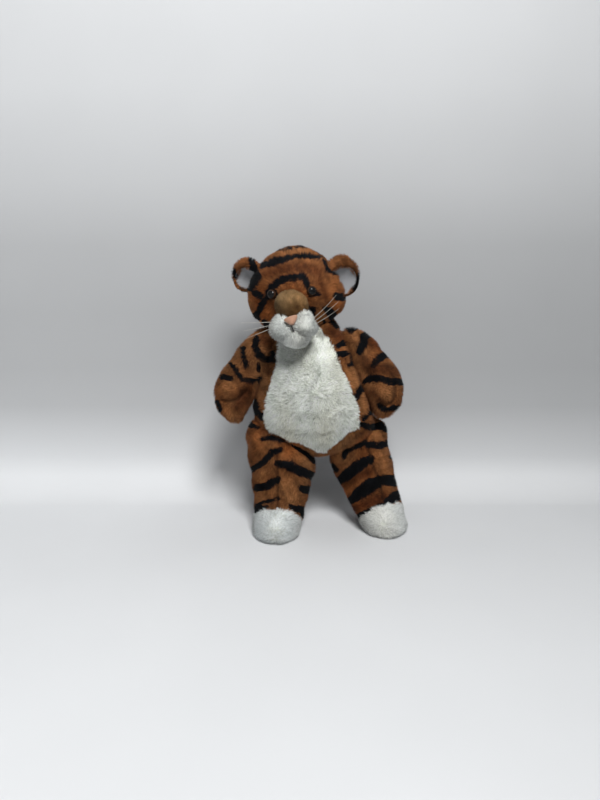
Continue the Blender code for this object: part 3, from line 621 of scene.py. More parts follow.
def arm_form(word):
    """The arm's rings, hanging along the seam."""
    side = SIDES[word]
    turn = (0, -side * np.degrees(ARM_TILT), 0)
    table = [(x, y, z * (ARM_LENGTHS[word] if z < 0 else 1), *radii) for x, y, z, *radii in ARM]
    return Form(table, JOINTS[f"arm_{word}_swing"] / MM, turn, mirror=side)


def closed_grid(points):
    """Vertices and faces of a grid of rings whose first and last rings are single points."""
    rows, sides = points.shape[:2]
    verts = np.vstack((points[0, :1], points[1:-1].reshape(-1, 3), points[-1, :1]))
    near = np.arange(sides)
    far = (near + 1) % sides
    ring = 1 + np.arange(rows - 3)[:, None] * sides
    quads = np.stack((ring + near, ring + far, ring + sides + far, ring + sides + near), -1)
    last = len(verts) - 1
    fans = np.stack((np.zeros(sides, int), 1 + far, 1 + near), -1)
    ends = np.stack((np.full(sides, last), last - sides + near, last - sides + far), -1)
    faces = [tuple(q) for q in quads.reshape(-1, 4).tolist()]
    faces += [tuple(t) for t in np.vstack((fans, ends)).tolist()]
    return verts, outward(verts, faces)


def split(faces):
    """Triangles of faces that have three or four corners."""
    return np.array([f[:3] for f in faces] + [(f[0], f[2], f[3]) for f in faces if len(f) == 4])


def outward(verts, faces):
    """The faces, all turned round if they enclose a negative volume."""
    tris = split(faces)
    a, b, c = (verts[tris[:, k]] for k in range(3))
    if np.einsum("ij,ij->", a, np.cross(b, c)) < 0:
        return [f[::-1] for f in faces]
    return faces


def add_object(name, verts, faces, material):
    """A smooth mesh object at the origin with one material."""
    mesh = bpy.data.meshes.new(name)
    mesh.from_pydata(np.asarray(verts).tolist(), [], faces)
    return finish_object(name, mesh, material)


def finish_object(name, mesh, material):
    """Links a smooth mesh with one material into the scene, at the origin."""
    mesh.materials.append(material)
    mesh.shade_smooth()
    mesh.update()
    piece = bpy.data.objects.new(name, mesh)
    bpy.context.scene.collection.objects.link(piece)
    return piece


def mesh_arrays(piece):
    """Points, outward normals and triangles of a piece's mesh."""
    mesh = piece.data
    mesh.calc_loop_triangles()
    points = np.empty(len(mesh.vertices) * 3, np.float32)
    mesh.vertices.foreach_get("co", points)
    tris = np.empty(len(mesh.loop_triangles) * 3, np.int32)
    mesh.loop_triangles.foreach_get("vertices", tris)
    points, tris = points.reshape(-1, 3).astype(float), tris.reshape(-1, 3)
    return points, point_normals(points, tris), tris


def point_normals(points, tris):
    """At each point, the mean of the face normals round it, weighted by face size."""
    a, b, c = (points[tris[:, k]] for k in range(3))
    faces = np.cross(b - a, c - a)
    normals = np.stack([
        sum(np.bincount(tris[:, k], faces[:, axis], len(points)) for k in range(3))
        for axis in range(3)
    ], 1)
    return unit(normals)


def unit(vectors):
    """Vectors of length one, each along the one given."""
    return vectors / np.maximum(np.linalg.norm(vectors, axis=-1, keepdims=True), 1e-12)


def ripple(points, size, seed, count=7):
    """Smooth noise of about -1 to 1: a mean of sine waves in seeded random directions."""
    rng = np.random.default_rng(seed)
    waves = rng.normal(size=(3, count)) / size
    phases = rng.uniform(0, 2 * pi, count)
    return np.sin(points @ waves + phases).sum(-1) / np.sqrt(count / 2)


def ripples(points, size, seed):
    """Three ripples as one vector for each point."""
    return np.stack([ripple(points, size, seed + k) for k in range(3)], -1)


# Pictures: stripes and panels are placed by where the camera sees them

def in_picture(points):
    """Where the camera sees each point, in pixels across and down."""
    back = np.array((0, -cos(CAMERA_RISE), sin(CAMERA_RISE)))
    up = np.array((0, sin(CAMERA_RISE), cos(CAMERA_RISE)))
    ray = points - (LOOK_AT + CAMERA_DISTANCE * back)
    depth = -(ray @ back)
    across = PICTURE[0] / 2 + FOCAL_PIXELS * ray[:, 0] / depth
    down = PICTURE[1] / 2 - FOCAL_PIXELS * (ray @ up) / depth
    return np.stack((across, down), 1)


def within(spots, outline, inset=0.0):
    """True where a spot lies in the outline: an odd number of its edges lie to the right.

    An inset keeps off the spots that lie less than so many pixels from the outline.
    """
    ends = np.array(outline, float)
    odd = np.zeros(len(spots), bool)
    for (x0, y0), (x1, y1) in zip(ends, np.roll(ends, -1, 0)):
        crosses = (y0 > spots[:, 1]) != (y1 > spots[:, 1])
        at = x0 + (spots[:, 1] - y0) * (x1 - x0) / (y1 - y0 if y1 != y0 else 1)
        odd ^= crosses & (spots[:, 0] < at)
    if inset:
        edge = [(x, y, 2 * inset) for x, y in (*outline, outline[0])]
        odd &= line_distance(spots, edge) > 0
    return odd


def line_distance(spots, line):
    """Distance to a line of (across, down, width) points less half its width there."""
    line = np.array(line, float)
    if len(line) == 1:
        return np.hypot(*(spots - line[0, :2]).T) - line[0, 2] / 2
    best = np.full(len(spots), 1e9)
    for a, b in zip(line, line[1:]):
        run = b[:2] - a[:2]
        t = np.clip(((spots - a[:2]) @ run) / (run @ run), 0, 1)
        gap = np.hypot(*(spots - a[:2] - t[:, None] * run).T)
        best = np.minimum(best, gap - (a[2] + t * (b[2] - a[2])) / 2)
    return best


def striped(points, normals, key):
    """True where a black stripe runs, with a ragged edge."""
    waver = 0.8 * ripple(points, 3 * MM, 11) + 0.5 * ripple(points, 1.2 * MM, 12)
    spots = in_picture(points)
    gap = np.min([line_distance(spots, line) for line in STRIPES[key]], 0)
    black = gap + 0.45 * waver < 0.45
    if key in BACK_STRIPES:
        edge = 0.12 - 0.42 * normals[:, 2].clip(0, 1) ** 2
        behind = normals[:, 1] > edge + 0.08 * ripple(points, 9 * MM, 13)
        spots = seen_from_behind(points, key)
        gap = np.min([line_distance(spots, line) for line in BACK_STRIPES[key]], 0)
        black = np.where(behind, gap + 0.8 * waver < 0, black)
    return black


def seen_from_behind(points, key):
    """Millimetres across and up; where a part is wrapped, up is an arc: radius times angle."""
    spots = points[:, (0, 2)] / MM
    if key in BACK_WRAP:
        y, z, radius = BACK_WRAP[key]
        angle = np.arctan2(spots[:, 1] - z, points[:, 1] / MM - y)
        spots[:, 1] = z + radius * angle
    return spots


def coat(points, normals, key, plain, vary=1.0):
    """Colour of the pile at each point: the plain colour, or black on a stripe.

    The plain colour's strength wavers by about a tenth, and its green and blue drift more
    slowly, which turns it from rust to straw. Each stroke of painted shade or painted light
    takes a share that falls off as a logistic curve over the distance to its stroke. Along a
    limb's front seam the colour is darkened as painted shade.
    """
    settings = bpy.context.scene.tiger_colours
    tone = 1 + vary * (0.13 * ripple(points, 7 * MM, 21) + 0.13 * ripple(points, 2.2 * MM, 22))
    drift = 1 + vary * ripple(points, 17 * MM, 23)[:, None] * np.array((0.04, 0.13, 0.22))
    colours = np.array(plain)[None, :] * tone[:, None] * drift
    spots = in_picture(points)
    # Painted shade and painted light, laid on in soft strokes
    for tint, strokes in PAINTED_SHADE_AND_LIGHT:
        for line in strokes.get(key, ()):
            deep = 1 / (1 + np.exp((line_distance(spots, line) - 0.6) / 1.3))
            colours *= 1 + deep[:, None] * (np.array(tint) - 1)
    if key in STRIPES:
        black = striped(points, normals, key)
        colours[black] = np.array(settings.black)
    # Painted shade along a limb's front seam
    if key in SEAMS:
        colours *= (1 - 0.6 * at_seam(points, key))[:, None]
    return colours


def at_seam(points, key):
    """From 1 on a limb's seam in front, seen by the camera, down to 0 a few millimetres off."""
    gap = line_distance(in_picture(points), [(x, y, 0) for x, y in SEAMS[key]])
    return np.exp(-(gap / 1.6) ** 2)


# Pile

# A strand's colour is read at this share of its length, and its root is sunk into the cloth
SEEN_SHARE = 0.7
ROOT_DEPTH = 0.6 * MM


def grow_pile(name, cloth, length, colour_at, seed, material, keep=None, flow=None,
              length_at=None, lean=0.34, rings=1, tuft=2.8 * MM, pull=0.33, density=1.0,
              ruffle=0.24, root=0.30, stray=0.18):
    """Strands on a cloth: thin three-sided spikes, each with its colour at every point.

    Roots are spread over the cloth by area. A strand leaves along the normal, leaned along the
    flow by a share and ruffled by smooth noise. Strands whose roots share a small cell of space
    are drawn together at their tips, as tufts are. A strand's colour is read at the share of
    its length where most of it shows.
    """
    settings = bpy.context.scene.tiger_pile
    rng = np.random.default_rng(seed)
    points, normals, tris = mesh_arrays(cloth)
    a, b, c = (points[tris[:, k]] for k in range(3))
    sizes = np.linalg.norm(np.cross(b - a, c - a), axis=1) / 2
    scale = 1.0
    count = int(sizes.sum() / MM**2 * settings.per_mm2 * density * scale)
    ladder = np.cumsum(sizes) / sizes.sum()
    picks = np.searchsorted(ladder, (np.arange(count) + rng.random(count)) / count)
    picks = np.minimum(picks, len(tris) - 1)
    u, v = rng.random((2, count))
    over = u + v > 1
    u[over], v[over] = 1 - u[over], 1 - v[over]
    corners = tris[picks]
    shares = np.stack((1 - u - v, u, v), 1)
    roots = np.einsum("ij,ijk->ik", shares, points[corners])
    outs = unit(np.einsum("ij,ijk->ik", shares, normals[corners]))
    if keep is not None:
        kept = keep(roots, outs)
        roots, outs = roots[kept], outs[kept]
    count = len(roots)
    way = np.array((0, 0, -1.0)) if flow is None else flow(roots)
    way = way - outs * np.sum(way * outs, 1, keepdims=True)
    way = unit(way) * np.minimum(np.linalg.norm(way, axis=1, keepdims=True) * 3, 1)
    aim = unit(outs * (1 - lean) + way * lean
               + ruffle * ripples(roots, 5 * MM, seed + 1) + stray * rng.normal(size=(count, 3)))
    aim = unit(aim + outs * np.maximum(0.25 - np.sum(aim * outs, 1, keepdims=True), 0))
    long = length * (0.82 + 0.36 * rng.random(count)) * (1 + 0.10 * ripple(roots, 8 * MM, seed + 5))
    if length_at is not None:
        long = long * length_at(roots, outs)
    tips = roots + aim * long[:, None]
    warp = ripples(roots, 3 * tuft, seed + 9) * tuft * 0.5
    _, cell = np.unique(np.floor((roots + warp) / tuft).astype(int), axis=0, return_inverse=True)
    cell = cell.ravel()
    mean = np.stack([np.bincount(cell, tips[:, k]) for k in range(3)], 1)
    mean = mean / np.bincount(cell)[:, None]
    tips = tips + pull * (mean[cell] - tips)
    tips[:, 2] = np.maximum(tips[:, 2], 0.4 * MM)
    seen = roots + SEEN_SHARE * (tips - roots)
    colours = colour_at(seen, outs) * (1 + 0.16 * rng.normal(size=(count, 1)))
    return strand_mesh(name, roots - outs * ROOT_DEPTH, tips, outs, colours.clip(0.001, 1), rng,
                       material, rings, settings.strand, root)


def strand_faces(rings):
    """Corners of one strand's faces and where they lie in the strand's cell of the map.

    Three strips run side by side from the root ring to the tip, and the base lies below them.
    """
    heights = np.linspace(0.14, 1, rings + 1)
    tip = 3 * rings
    faces, spots = [(0, 2, 1)], [((0, 0), (0.5, 0.10), (1, 0))]
    for k in range(3):
        near, far = k / 3, (k + 1) / 3
        for ring in range(rings - 1):
            a, b = 3 * ring + k, 3 * ring + (k + 1) % 3
            low, high = heights[ring:ring + 2]
            faces += [(a, b, b + 3), (a, b + 3, a + 3)]
            spots += [((near, low), (far, low), (far, high)), ((near, low), (far, high), (near, high))]
        a, b = tip - 3 + k, tip - 3 + (k + 1) % 3
        faces.append((a, b, tip))
        spots.append(((near, heights[-2]), (far, heights[-2]), ((near + far) / 2, 1)))
    return np.array(faces), np.array(spots)


def strand_mesh(name, roots, tips, outs, colours, rng, material, rings, radius, root):
    """One mesh of all strands: rings of three points, narrowing and bowed out, and a tip.

    Ring i of n lies at i/n of the way from root to tip, moved along the normal by a tenth of the
    strand times the sine of half a turn's share, and its radius falls by a quarter each ring.
    """
    count = len(roots)
    span = tips - roots
    long = np.linalg.norm(span, axis=1)
    run = unit(span)
    side = unit(np.cross(run, unit(rng.normal(size=(count, 3)))))
    other = np.cross(run, side)
    turns = 2 * pi * np.arange(3) / 3
    round_way = side[:, None] * np.cos(turns)[:, None] + other[:, None] * np.sin(turns)[:, None]
    wide = radius * (0.75 + 0.5 * rng.random((count, 1, 1)))
    levels, shades = [], []
    for ring in range(rings):
        share = ring / rings
        middle = roots + span * share + outs * (0.12 * long * sin(pi * share))[:, None]
        levels.append(middle[:, None] + round_way * wide * (1 - 0.25 * ring))
        # Painted shade: the colour is darkest at the root and rises to just over full at the tip
        shades += [root + (1 - root) * share] * 3
    verts = np.concatenate((*levels, tips[:, None]), 1)
    shades = np.array([*shades, 1.06])
    each = verts.shape[1]
    faces, spots = strand_faces(rings)
    tris = (faces[None] + each * np.arange(count)[:, None, None]).reshape(-1, 3)
    mesh = bpy.data.meshes.new(name)
    mesh.vertices.add(count * each)
    mesh.vertices.foreach_set("co", verts.ravel().astype(np.float32))
    mesh.loops.add(tris.size)
    mesh.loops.foreach_set("vertex_index", tris.ravel().astype(np.int32))
    mesh.polygons.add(len(tris))
    mesh.polygons.foreach_set("loop_start", np.arange(0, tris.size, 3, dtype=np.int32))
    mesh.update(calc_edges=True)
    set_colours(mesh, (colours[:, None] * shades[None, :, None]).reshape(-1, 3))
    set_strand_map(mesh, spots, count)
    piece = finish_object(name, mesh, material)
    ways = np.concatenate([round_way] * rings + [run[:, None]], 1)
    shading = unit(outs[:, None] * 0.75 + ways * 0.30 + run[:, None] * 0.1)
    mesh.normals_split_custom_set_from_vertices(shading.reshape(-1, 3).astype(np.float32))
    return piece


def set_colours(mesh, colours):
    """Stores a linear colour at every point, under the name that the materials read."""
    layer = mesh.color_attributes.new("pile", "FLOAT_COLOR", "POINT")
    whole = np.ones((len(colours), 4), np.float32)
    whole[:, :3] = colours
    layer.data.foreach_set("color", whole.ravel())


def set_strand_map(mesh, spots, count):
    """A map in which every strand has a square cell of its own, row after row."""
    cells = int(np.ceil(np.sqrt(count)))
    index = np.arange(count)
    corner = np.stack((index % cells, index // cells), 1)
    inner = 0.06 + 0.88 * spots.reshape(-1, 2)
    whole = (inner[None] + corner[:, None]) / cells
    layer = mesh.uv_layers.new(name="OFBake")
    layer.uv.foreach_set("vector", whole.ravel().astype(np.float32))


# Materials

def new_material(name):
    """A material with its node tree and its Principled shader."""
    material = bpy.data.materials.new(name)
    material.use_nodes = True
    tree = material.node_tree
    return material, tree, tree.nodes["Principled BSDF"]


def noise_node(tree, size, detail=3.0, rough=0.55):
    """Noise on object coordinates with features of about one size in metres."""
    where = tree.nodes.new("ShaderNodeTexCoord")
    noise = tree.nodes.new("ShaderNodeTexNoise")
    noise.inputs["Scale"].default_value = 1 / size
    noise.inputs["Detail"].default_value = detail
    noise.inputs["Roughness"].default_value = rough
    tree.links.new(where.outputs["Object"], noise.inputs["Vector"])
    return noise.outputs["Fac"]


def spread(tree, value, low, high):
    """Maps a factor of 0.3 to 0.7 onto low to high."""
    step = tree.nodes.new("ShaderNodeMapRange")
    step.inputs["From Min"].default_value = 0.3
    step.inputs["From Max"].default_value = 0.7
    step.inputs["To Min"].default_value = low
    step.inputs["To Max"].default_value = high
    tree.links.new(value, step.inputs["Value"])
    return step.outputs["Result"]


def tinted(tree, colour_socket, factor):
    """Multiplies a colour by a factor."""
    mix = tree.nodes.new("ShaderNodeVectorMath")
    mix.operation = "SCALE"
    tree.links.new(colour_socket, mix.inputs[0])
    tree.links.new(factor, mix.inputs["Scale"])
    return mix.outputs["Vector"]


def bump(tree, shader, height, distance, strength):
    """Bends the shading by a height in a material."""
    node = tree.nodes.new("ShaderNodeBump")
    node.inputs["Distance"].default_value = distance
    node.inputs["Strength"].default_value = strength
    tree.links.new(height, node.inputs["Height"])
    tree.links.new(node.outputs["Normal"], shader.inputs["Normal"])


def pile_material(name, roughness=0.82, sheen=0.02):
    """Pile: the stored colour, varied finely, dull with a soft sheen."""
    material, tree, shader = new_material(name)
    stored = tree.nodes.new("ShaderNodeAttribute")
    stored.attribute_name = "pile"
    fine = spread(tree, noise_node(tree, 1.6 * MM), 0.86, 1.12)
    colour = tinted(tree, stored.outputs["Color"], fine)
    tree.links.new(colour, shader.inputs["Base Color"])
    tree.links.new(spread(tree, noise_node(tree, 5 * MM), roughness - 0.08, roughness + 0.08),
                   shader.inputs["Roughness"])
    shader.inputs["Sheen Weight"].default_value = sheen
    shader.inputs["Sheen Roughness"].default_value = 0.5
    shader.inputs["Specular IOR Level"].default_value = 0.16
    return material


def cloth_material(name, weave=0.7 * MM):
    """Knitted backing cloth in the stored colour, with fine loops as bump."""
    material, tree, shader = new_material(name)
    stored = tree.nodes.new("ShaderNodeAttribute")
    stored.attribute_name = "pile"
    loops = noise_node(tree, weave, 2.0)
    tree.links.new(tinted(tree, stored.outputs["Color"], spread(tree, loops, 0.7, 1.1)),
                   shader.inputs["Base Color"])
    shader.inputs["Roughness"].default_value = 0.95
    shader.inputs["Specular IOR Level"].default_value = 0.2
    bump(tree, shader, loops, 0.4 * MM, 0.8)
    return material


def plain_material(name, colour, roughness, size, bump_depth, vary=0.12, **sockets):
    """One finish: a colour varied by noise, noise on its roughness, and fine bump."""
    material, tree, shader = new_material(name)
    ink = tree.nodes.new("ShaderNodeRGB")
    ink.outputs[0].default_value = (*colour, 1)
    grain = noise_node(tree, size)
    tree.links.new(tinted(tree, ink.outputs[0], spread(tree, grain, 1 - vary, 1 + vary)),
                   shader.inputs["Base Color"])
    tree.links.new(spread(tree, noise_node(tree, 3 * size), roughness * 0.85, roughness * 1.15),
                   shader.inputs["Roughness"])
    for socket, value in sockets.items():
        shader.inputs[socket.replace("_", " ")].default_value = value
    bump(tree, shader, grain, bump_depth, 0.6)
    return material


MATERIALS = {}


def shared(name, maker, *values, **more):
    """A material that several pieces use, made once."""
    if name not in MATERIALS:
        MATERIALS[name] = maker(name, *values, **more)
    return MATERIALS[name]


def orange_fur():
    """Orange and black pile."""
    return shared("orange_pile", pile_material)


def white_fur():
    """White pile, a little silkier."""
    return shared("white_pile", pile_material, 0.85, 0.15)


# Shaping cloth

def lift_over_thigh(points, word):
    """Raises points under the thigh's path to the top of a round rod along that path.

    The top of a rod of radius r along d from c, above a point, is where the distance from the
    rod's axis is r, which is a quadratic in height; near the hip the rod ends in a ball.
    """
    hip = JOINTS[f"leg_{word}_swing"]
    radius = THIGH_HOLLOW * MM
    rest = unit(np.array((LEG_LEAN[word], 0, -1.0)))
    turn = np.array(Euler((-THIGH_SWING, 0, 0)).to_matrix())
    d = turn @ rest
    flat = (points - hip) * (1, 1, 0)
    top = np.full(len(points), -1e9)
    reach = radius**2 - flat[:, 0]**2 - flat[:, 1]**2
    top = np.where(reach > 0, np.sqrt(np.maximum(reach, 0)), top)
    a = 1 - d[2]**2
    b = -2 * (flat @ d) * d[2]
    c = np.sum(flat**2, 1) - (flat @ d)**2 - radius**2
    root = b**2 - 4 * a * c
    high = (-b + np.sqrt(np.maximum(root, 0))) / (2 * a)
    along = flat @ d + high * d[2]
    top = np.where((root > 0) & (along > 0), np.maximum(top, high), top)
    lifted = points.copy()
    lifted[:, 2] = np.maximum(points[:, 2], hip[2] + top)
    return lifted


def press_flat(points, spot, out):
    """Points past a plane are pressed back onto it."""
    past = np.maximum((points - spot) @ out, 0)
    return points - past[:, None] * out


def clear_of_head(points, gap):
    """Points in the egg round the head are pushed out to it along lines from its middle."""
    local = HEAD_FORM.local(points)
    near = np.linalg.norm(local / (np.array((64, 55, 56)) + gap), axis=1, keepdims=True)
    return HEAD_FORM.world(local / np.clip(near, 0.5, 1))


def sewn(points, key, depth, middle):
    """Points in front of a middle move back by a depth times a bell over their seam distance."""
    line = [(x, y, 0) for x, y in SEAMS[key]]
    gap = line_distance(in_picture(points), line)
    pull = depth * MM * np.exp(-(gap / 2.2) ** 2) * (points[:, 1] < middle)
    return points + pull[:, None] * np.array((0, 1.0, 0))


def seam_plane(word):
    """A point of the seam between torso and arm, and the way out of the torso."""
    side = SIDES[word]
    out = np.array((side * cos(ARM_TILT), 0, sin(ARM_TILT)))
    return JOINTS[f"arm_{word}_swing"] - out * ARM_SEAM * MM, out


def stuffed(name, form, steps, sides, inset, shape):
    """A cloth over a form: its surface drawn in under the pile, dented softly, then shaped."""
    verts, faces = closed_grid(form.surface(steps, sides))
    normals = point_normals(verts, split(faces))
    dent = DENT_DEPTH * ripple(verts, DENT_SIZE, len(name))
    verts = verts - normals * (inset + dent)[:, None]
    if shape is not None:
        verts = shape(verts)
    return verts, faces


def cover(name, verts, faces, colour_at, body, slot, replaces, shade=CLOTH_SHADE):
    """Makes a coloured cloth, attaches it to its body and hides its CAD nodes."""
    piece = add_object(name, verts, faces, shared("backing_cloth", cloth_material))
    points, normals, _ = mesh_arrays(piece)
    # The cloth's colour times its shade: painted shade under the pile
    set_colours(piece.data, (colour_at(points, normals) * shade).clip(DARKEST, 1))
    settle(piece, body, slot, *replaces)
    return piece


def dress(name, form, colour_at, body, slot, inset, steps, sides, shape, replaces,
          shade=CLOTH_SHADE):
    """The cloth of a part, made over its form."""
    verts, faces = stuffed(name, form, steps, sides, inset, shape)
    return cover(name, verts, faces, colour_at, body, slot, replaces, shade)


def settle(piece, body, slot, *replaces):
    """Ties a piece to a body and hides the CAD nodes that it stands for; the material slot is not
    used.
    """
    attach(piece, body)
    if replaces:
        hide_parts(*replaces)
    return piece


# Parts

class OBJECT_OT_tiger_torso(bpy.types.Operator):
    """Torso and neck: striped orange pile at the sides and back, long white pile in front"""

    bl_idname = "object.tiger_torso"
    bl_label = "Torso and belly"

    def execute(self, context):
        colours, pile = context.scene.tiger_colours, context.scene.tiger_pile
        inset = pile.cloth_depth
        seams = [seam_plane(word) for word in SIDES]

        def shape(points):
            for word in SIDES:
                points = lift_over_thigh(points, word)
            for spot, out in seams:
                points = press_flat(points, spot - out * SEAM_GAP, out)
            return clear_of_head(points, -2.0)

        def in_belly(points, normals):
            spots = in_picture(points)
            edge = 0.6 * ripple(points, 3 * MM, 31)
            return within(spots + edge[:, None], BELLY_OUTLINE, BELLY_INSET) & (normals[:, 1] < 0.05)

        def colour_at(points, normals):
            found = coat(points, normals, "torso", colours.orange)
            white = in_belly(points, normals)
            found[white] = np.array(colours.white) * WHITE_BACKING
            return found

        def white_at(points, normals):
            return coat(points, normals, "belly", colours.white, 0.22)

        def belly_length(points, normals):
            """Shorter within some pixels of the panel's seam."""
            seam = [(x, y, 0) for x, y in (*BELLY_OUTLINE, BELLY_OUTLINE[0])]
            gap = line_distance(in_picture(points), seam)
            return short_where_covered(points, normals) * (1 - 0.5 * np.exp(-(gap / BELLY_EDGE) ** 2))

        def short_where_covered(points, normals):
            covered = np.zeros(len(points), bool)
            for limb in limbs:
                covered |= limb.inside(points, -5)
            return np.where(covered, 0.4, 1.0)

        limbs = [form(word) for form in (arm_form, leg_form) for word in SIDES]
        cloth = dress("torso_cloth", TORSO_FORM, colour_at, "torso", "orange_plush", inset,
                      60, 84, shape, ("torso_skin", "torso_filling"))
        fur = orange_fur()
        orange = grow_pile(
            "torso_pile", cloth, pile.body, colour_at, 101, fur,
            keep=lambda p, n: ~in_belly(p, n) & ~HEAD_FORM.inside(p, -4),
            length_at=short_where_covered,
        )
        settle(orange, "torso", "orange_plush")
        middle = np.array((4, -40, 185)) * MM
        white = grow_pile(
            "belly_pile", cloth, pile.belly, white_at, 102,
            white_fur(),
            keep=lambda p, n: in_belly(p, n) & ~HEAD_FORM.inside(p, -4),
            flow=lambda p: unit(p - middle) + np.array((0, 0, -0.8)),
            length_at=belly_length, rings=2, tuft=3 * MM, pull=0.22,
            density=0.92, ruffle=0.18, root=0.76, stray=0.24,
        )
        settle(white, "torso", "white_plush", "belly_panel")
        self.neck(colours, pile, fur)
        return {"FINISHED"}

    def neck(self, colours, pile, fur):
        """The short neck: orange round the sides and back, white where the belly reaches it."""
        def colour_at(points, normals):
            found = coat(points, normals, "torso", colours.orange)
            white = within(in_picture(points), BELLY_OUTLINE, BELLY_INSET) & (normals[:, 1] < 0.05)
            found[white] = np.array(colours.white)
            return found

        cloth = dress("neck_cloth", NECK_FORM, colour_at, "neck", "orange_plush",
                      pile.cloth_depth, 20, 48, None, ("neck_filling",))
        band = grow_pile(
            "neck_pile", cloth, pile.body * 1.2, colour_at, 103, fur,
            keep=lambda p, n: ~HEAD_FORM.inside(p, -4) & ~TORSO_FORM.inside(p, -5), root=0.6,
        )
        settle(band, "neck", "orange_plush")


class OBJECT_OT_tiger_head(bpy.types.Operator):
    """Head: striped orange pile combed away from the nose"""

    bl_idname = "object.tiger_head"
    bl_label = "Head"

    def execute(self, context):
        colours, pile = context.scene.tiger_colours, context.scene.tiger_pile
        lobes = [head_egg(LOBE, side, LOBE_TAPER, LOBE_SLIP) for side in SIDES.values()]
        bridge = head_egg(BRIDGE)
        chin = head_egg(CHIN)

        def colour_at(points, normals):
            return coat(points, normals, "head", colours.orange)

        def bare(points, normals):
            hidden = bridge.inside(points, -1.5)
            for form in (*lobes, chin):
                hidden |= form.inside(points, -4)
            return ~hidden

        cloth = dress("head_cloth", HEAD_FORM, colour_at, "head", "orange_plush",
                      pile.cloth_depth, 52, 72, None, ("head_skin", "head_filling"))
        source = HEAD_FORM.world(np.array((0, -80.0, -8)))
        fur = grow_pile(
            "head_pile", cloth, pile.head, colour_at, 201, orange_fur(),
            keep=bare, flow=lambda p: unit(p - source), density=1.1,
        )
        settle(fur, "head", "orange_plush")
        return {"FINISHED"}


class OBJECT_OT_tiger_muzzle(bpy.types.Operator):
    """Muzzle: tan bridge, white lobes and chin, velour nose and the stitched mouth"""

    bl_idname = "object.tiger_muzzle"
    bl_label = "Muzzle and nose"

    def execute(self, context):
        colours, pile = context.scene.tiger_colours, context.scene.tiger_pile
        bridge = head_egg(BRIDGE)
        lobes = {word: head_egg(LOBE, side, LOBE_TAPER, LOBE_SLIP)
                 for word, side in SIDES.items()}
        chin = head_egg(CHIN)
        white = white_fur()

        def tan_at(points, normals):
            return coat(points, normals, "bridge", colours.tan, 0.8)

        def white_at(points, normals):
            return coat(points, normals, "muzzle", colours.white, 0.12) * (0.87, 0.89, 0.97)

        cloth = dress("snout_bridge_cloth", bridge, tan_at, "head", "tan_plush", 1.6 * MM,
                      24, 36, None, ("snout_bridge",), 0.85)
        down = HEAD_FORM.axes @ np.array((0, -0.3, 1.0))
        fur = grow_pile(
            "snout_bridge_pile", cloth, pile.bridge, tan_at, 301,
            shared("tan_pile", pile_material, 0.9, 0.02),
            keep=lambda p, n: ~HEAD_FORM.inside(p, -6), flow=lambda p: np.broadcast_to(down, p.shape),
            lean=0.30, density=1.7, tuft=2.0 * MM, pull=0.34, root=0.42, stray=0.26,
        )
        settle(fur, "head", "tan_plush")
        for word, side in SIDES.items():
            cloth = dress(f"muzzle_{word}_cloth", lobes[word], white_at, "head", "white_plush",
                          4.2 * MM, 24, 36, None, (f"muzzle_{word}",), 1.0)
            centre = lobes[word].place * MM
            fur = grow_pile(
                f"muzzle_{word}_pile", cloth, pile.muzzle, white_at, 310 + side, white,
                keep=lambda p, n: ~HEAD_FORM.inside(p, -7) & ~bridge.inside(p, -1)
                & ~lobes["left" if side > 0 else "right"].inside(p, -2),
                flow=lambda p: p - centre + np.array((side * 0.01, 0, -0.01)),
                lean=0.22, rings=2, density=1.2, tuft=2.6 * MM, pull=0.36, ruffle=0.32, root=0.76,
                stray=0.30,
            )
            settle(fur, "head", "white_plush")
        cloth = dress("chin_cloth", chin, white_at, "head", "white_plush", 3.4 * MM,
                      20, 36, None, ("chin",), 1.0)
        fur = grow_pile(
            "chin_pile", cloth, pile.muzzle, white_at, 320, white,
            keep=lambda p, n: ~HEAD_FORM.inside(p, -6) & ~lobes["left"].inside(p, -2)
            & ~lobes["right"].inside(p, -2),
            lean=0.25, rings=2, density=1.2, tuft=2.6 * MM, pull=0.36, ruffle=0.32, root=0.76,
            stray=0.30,
        )
        settle(fur, "head", "white_plush")
        self.nose(colours)
        self.mouth()
        return {"FINISHED"}

    def nose(self, colours):
        """A soft triangle: an egg pressed flat above and below, narrowing as it goes down."""
        form = head_egg(NOSE)
        points = form.surface(22, 36)
        verts, faces = closed_grid(points)
        local = form.local(verts)
        high = NOSE[1][2]
        local[:, 2] = high * np.tanh(1.7 * local[:, 2] / high) / np.tanh(1.7)
        share = (local[:, 2] / high + 1) / 2
        local[:, 0] *= 0.22 + 0.86 * share
        verts = form.world(local)
        cloth = shared("nose_velour", plain_material, tuple(colours.nose), 0.75, 0.5 * MM,
                       0.15 * MM, Sheen_Weight=0.4, Sheen_Roughness=0.4)
        piece = add_object("nose_cloth", verts, faces, cloth)
        settle(piece, "head", "nose_velour", "nose")

    def mouth(self):
        """The stitch runs down the cleft between the lobes."""
        thread = shared("black_thread", plain_material, (0.02, 0.018, 0.017), 0.7, 0.3 * MM,
                        0.1 * MM)
        t = np.linspace(0, 1, 24)
        depth = LOBE[0][1] - LOBE[1][1] * 0.62
        path = np.stack((2.4 * t - 0.4, depth - 7.6 + 4.6 * t**2, -35.0 - 9.5 * t), 1)
        piece = tube("mouth_stitch_thread", HEAD_FORM.world(path), np.full(24, 1.0 * MM), 8, thread)
        settle(piece, "head", "black_thread", "mouth_stitch")


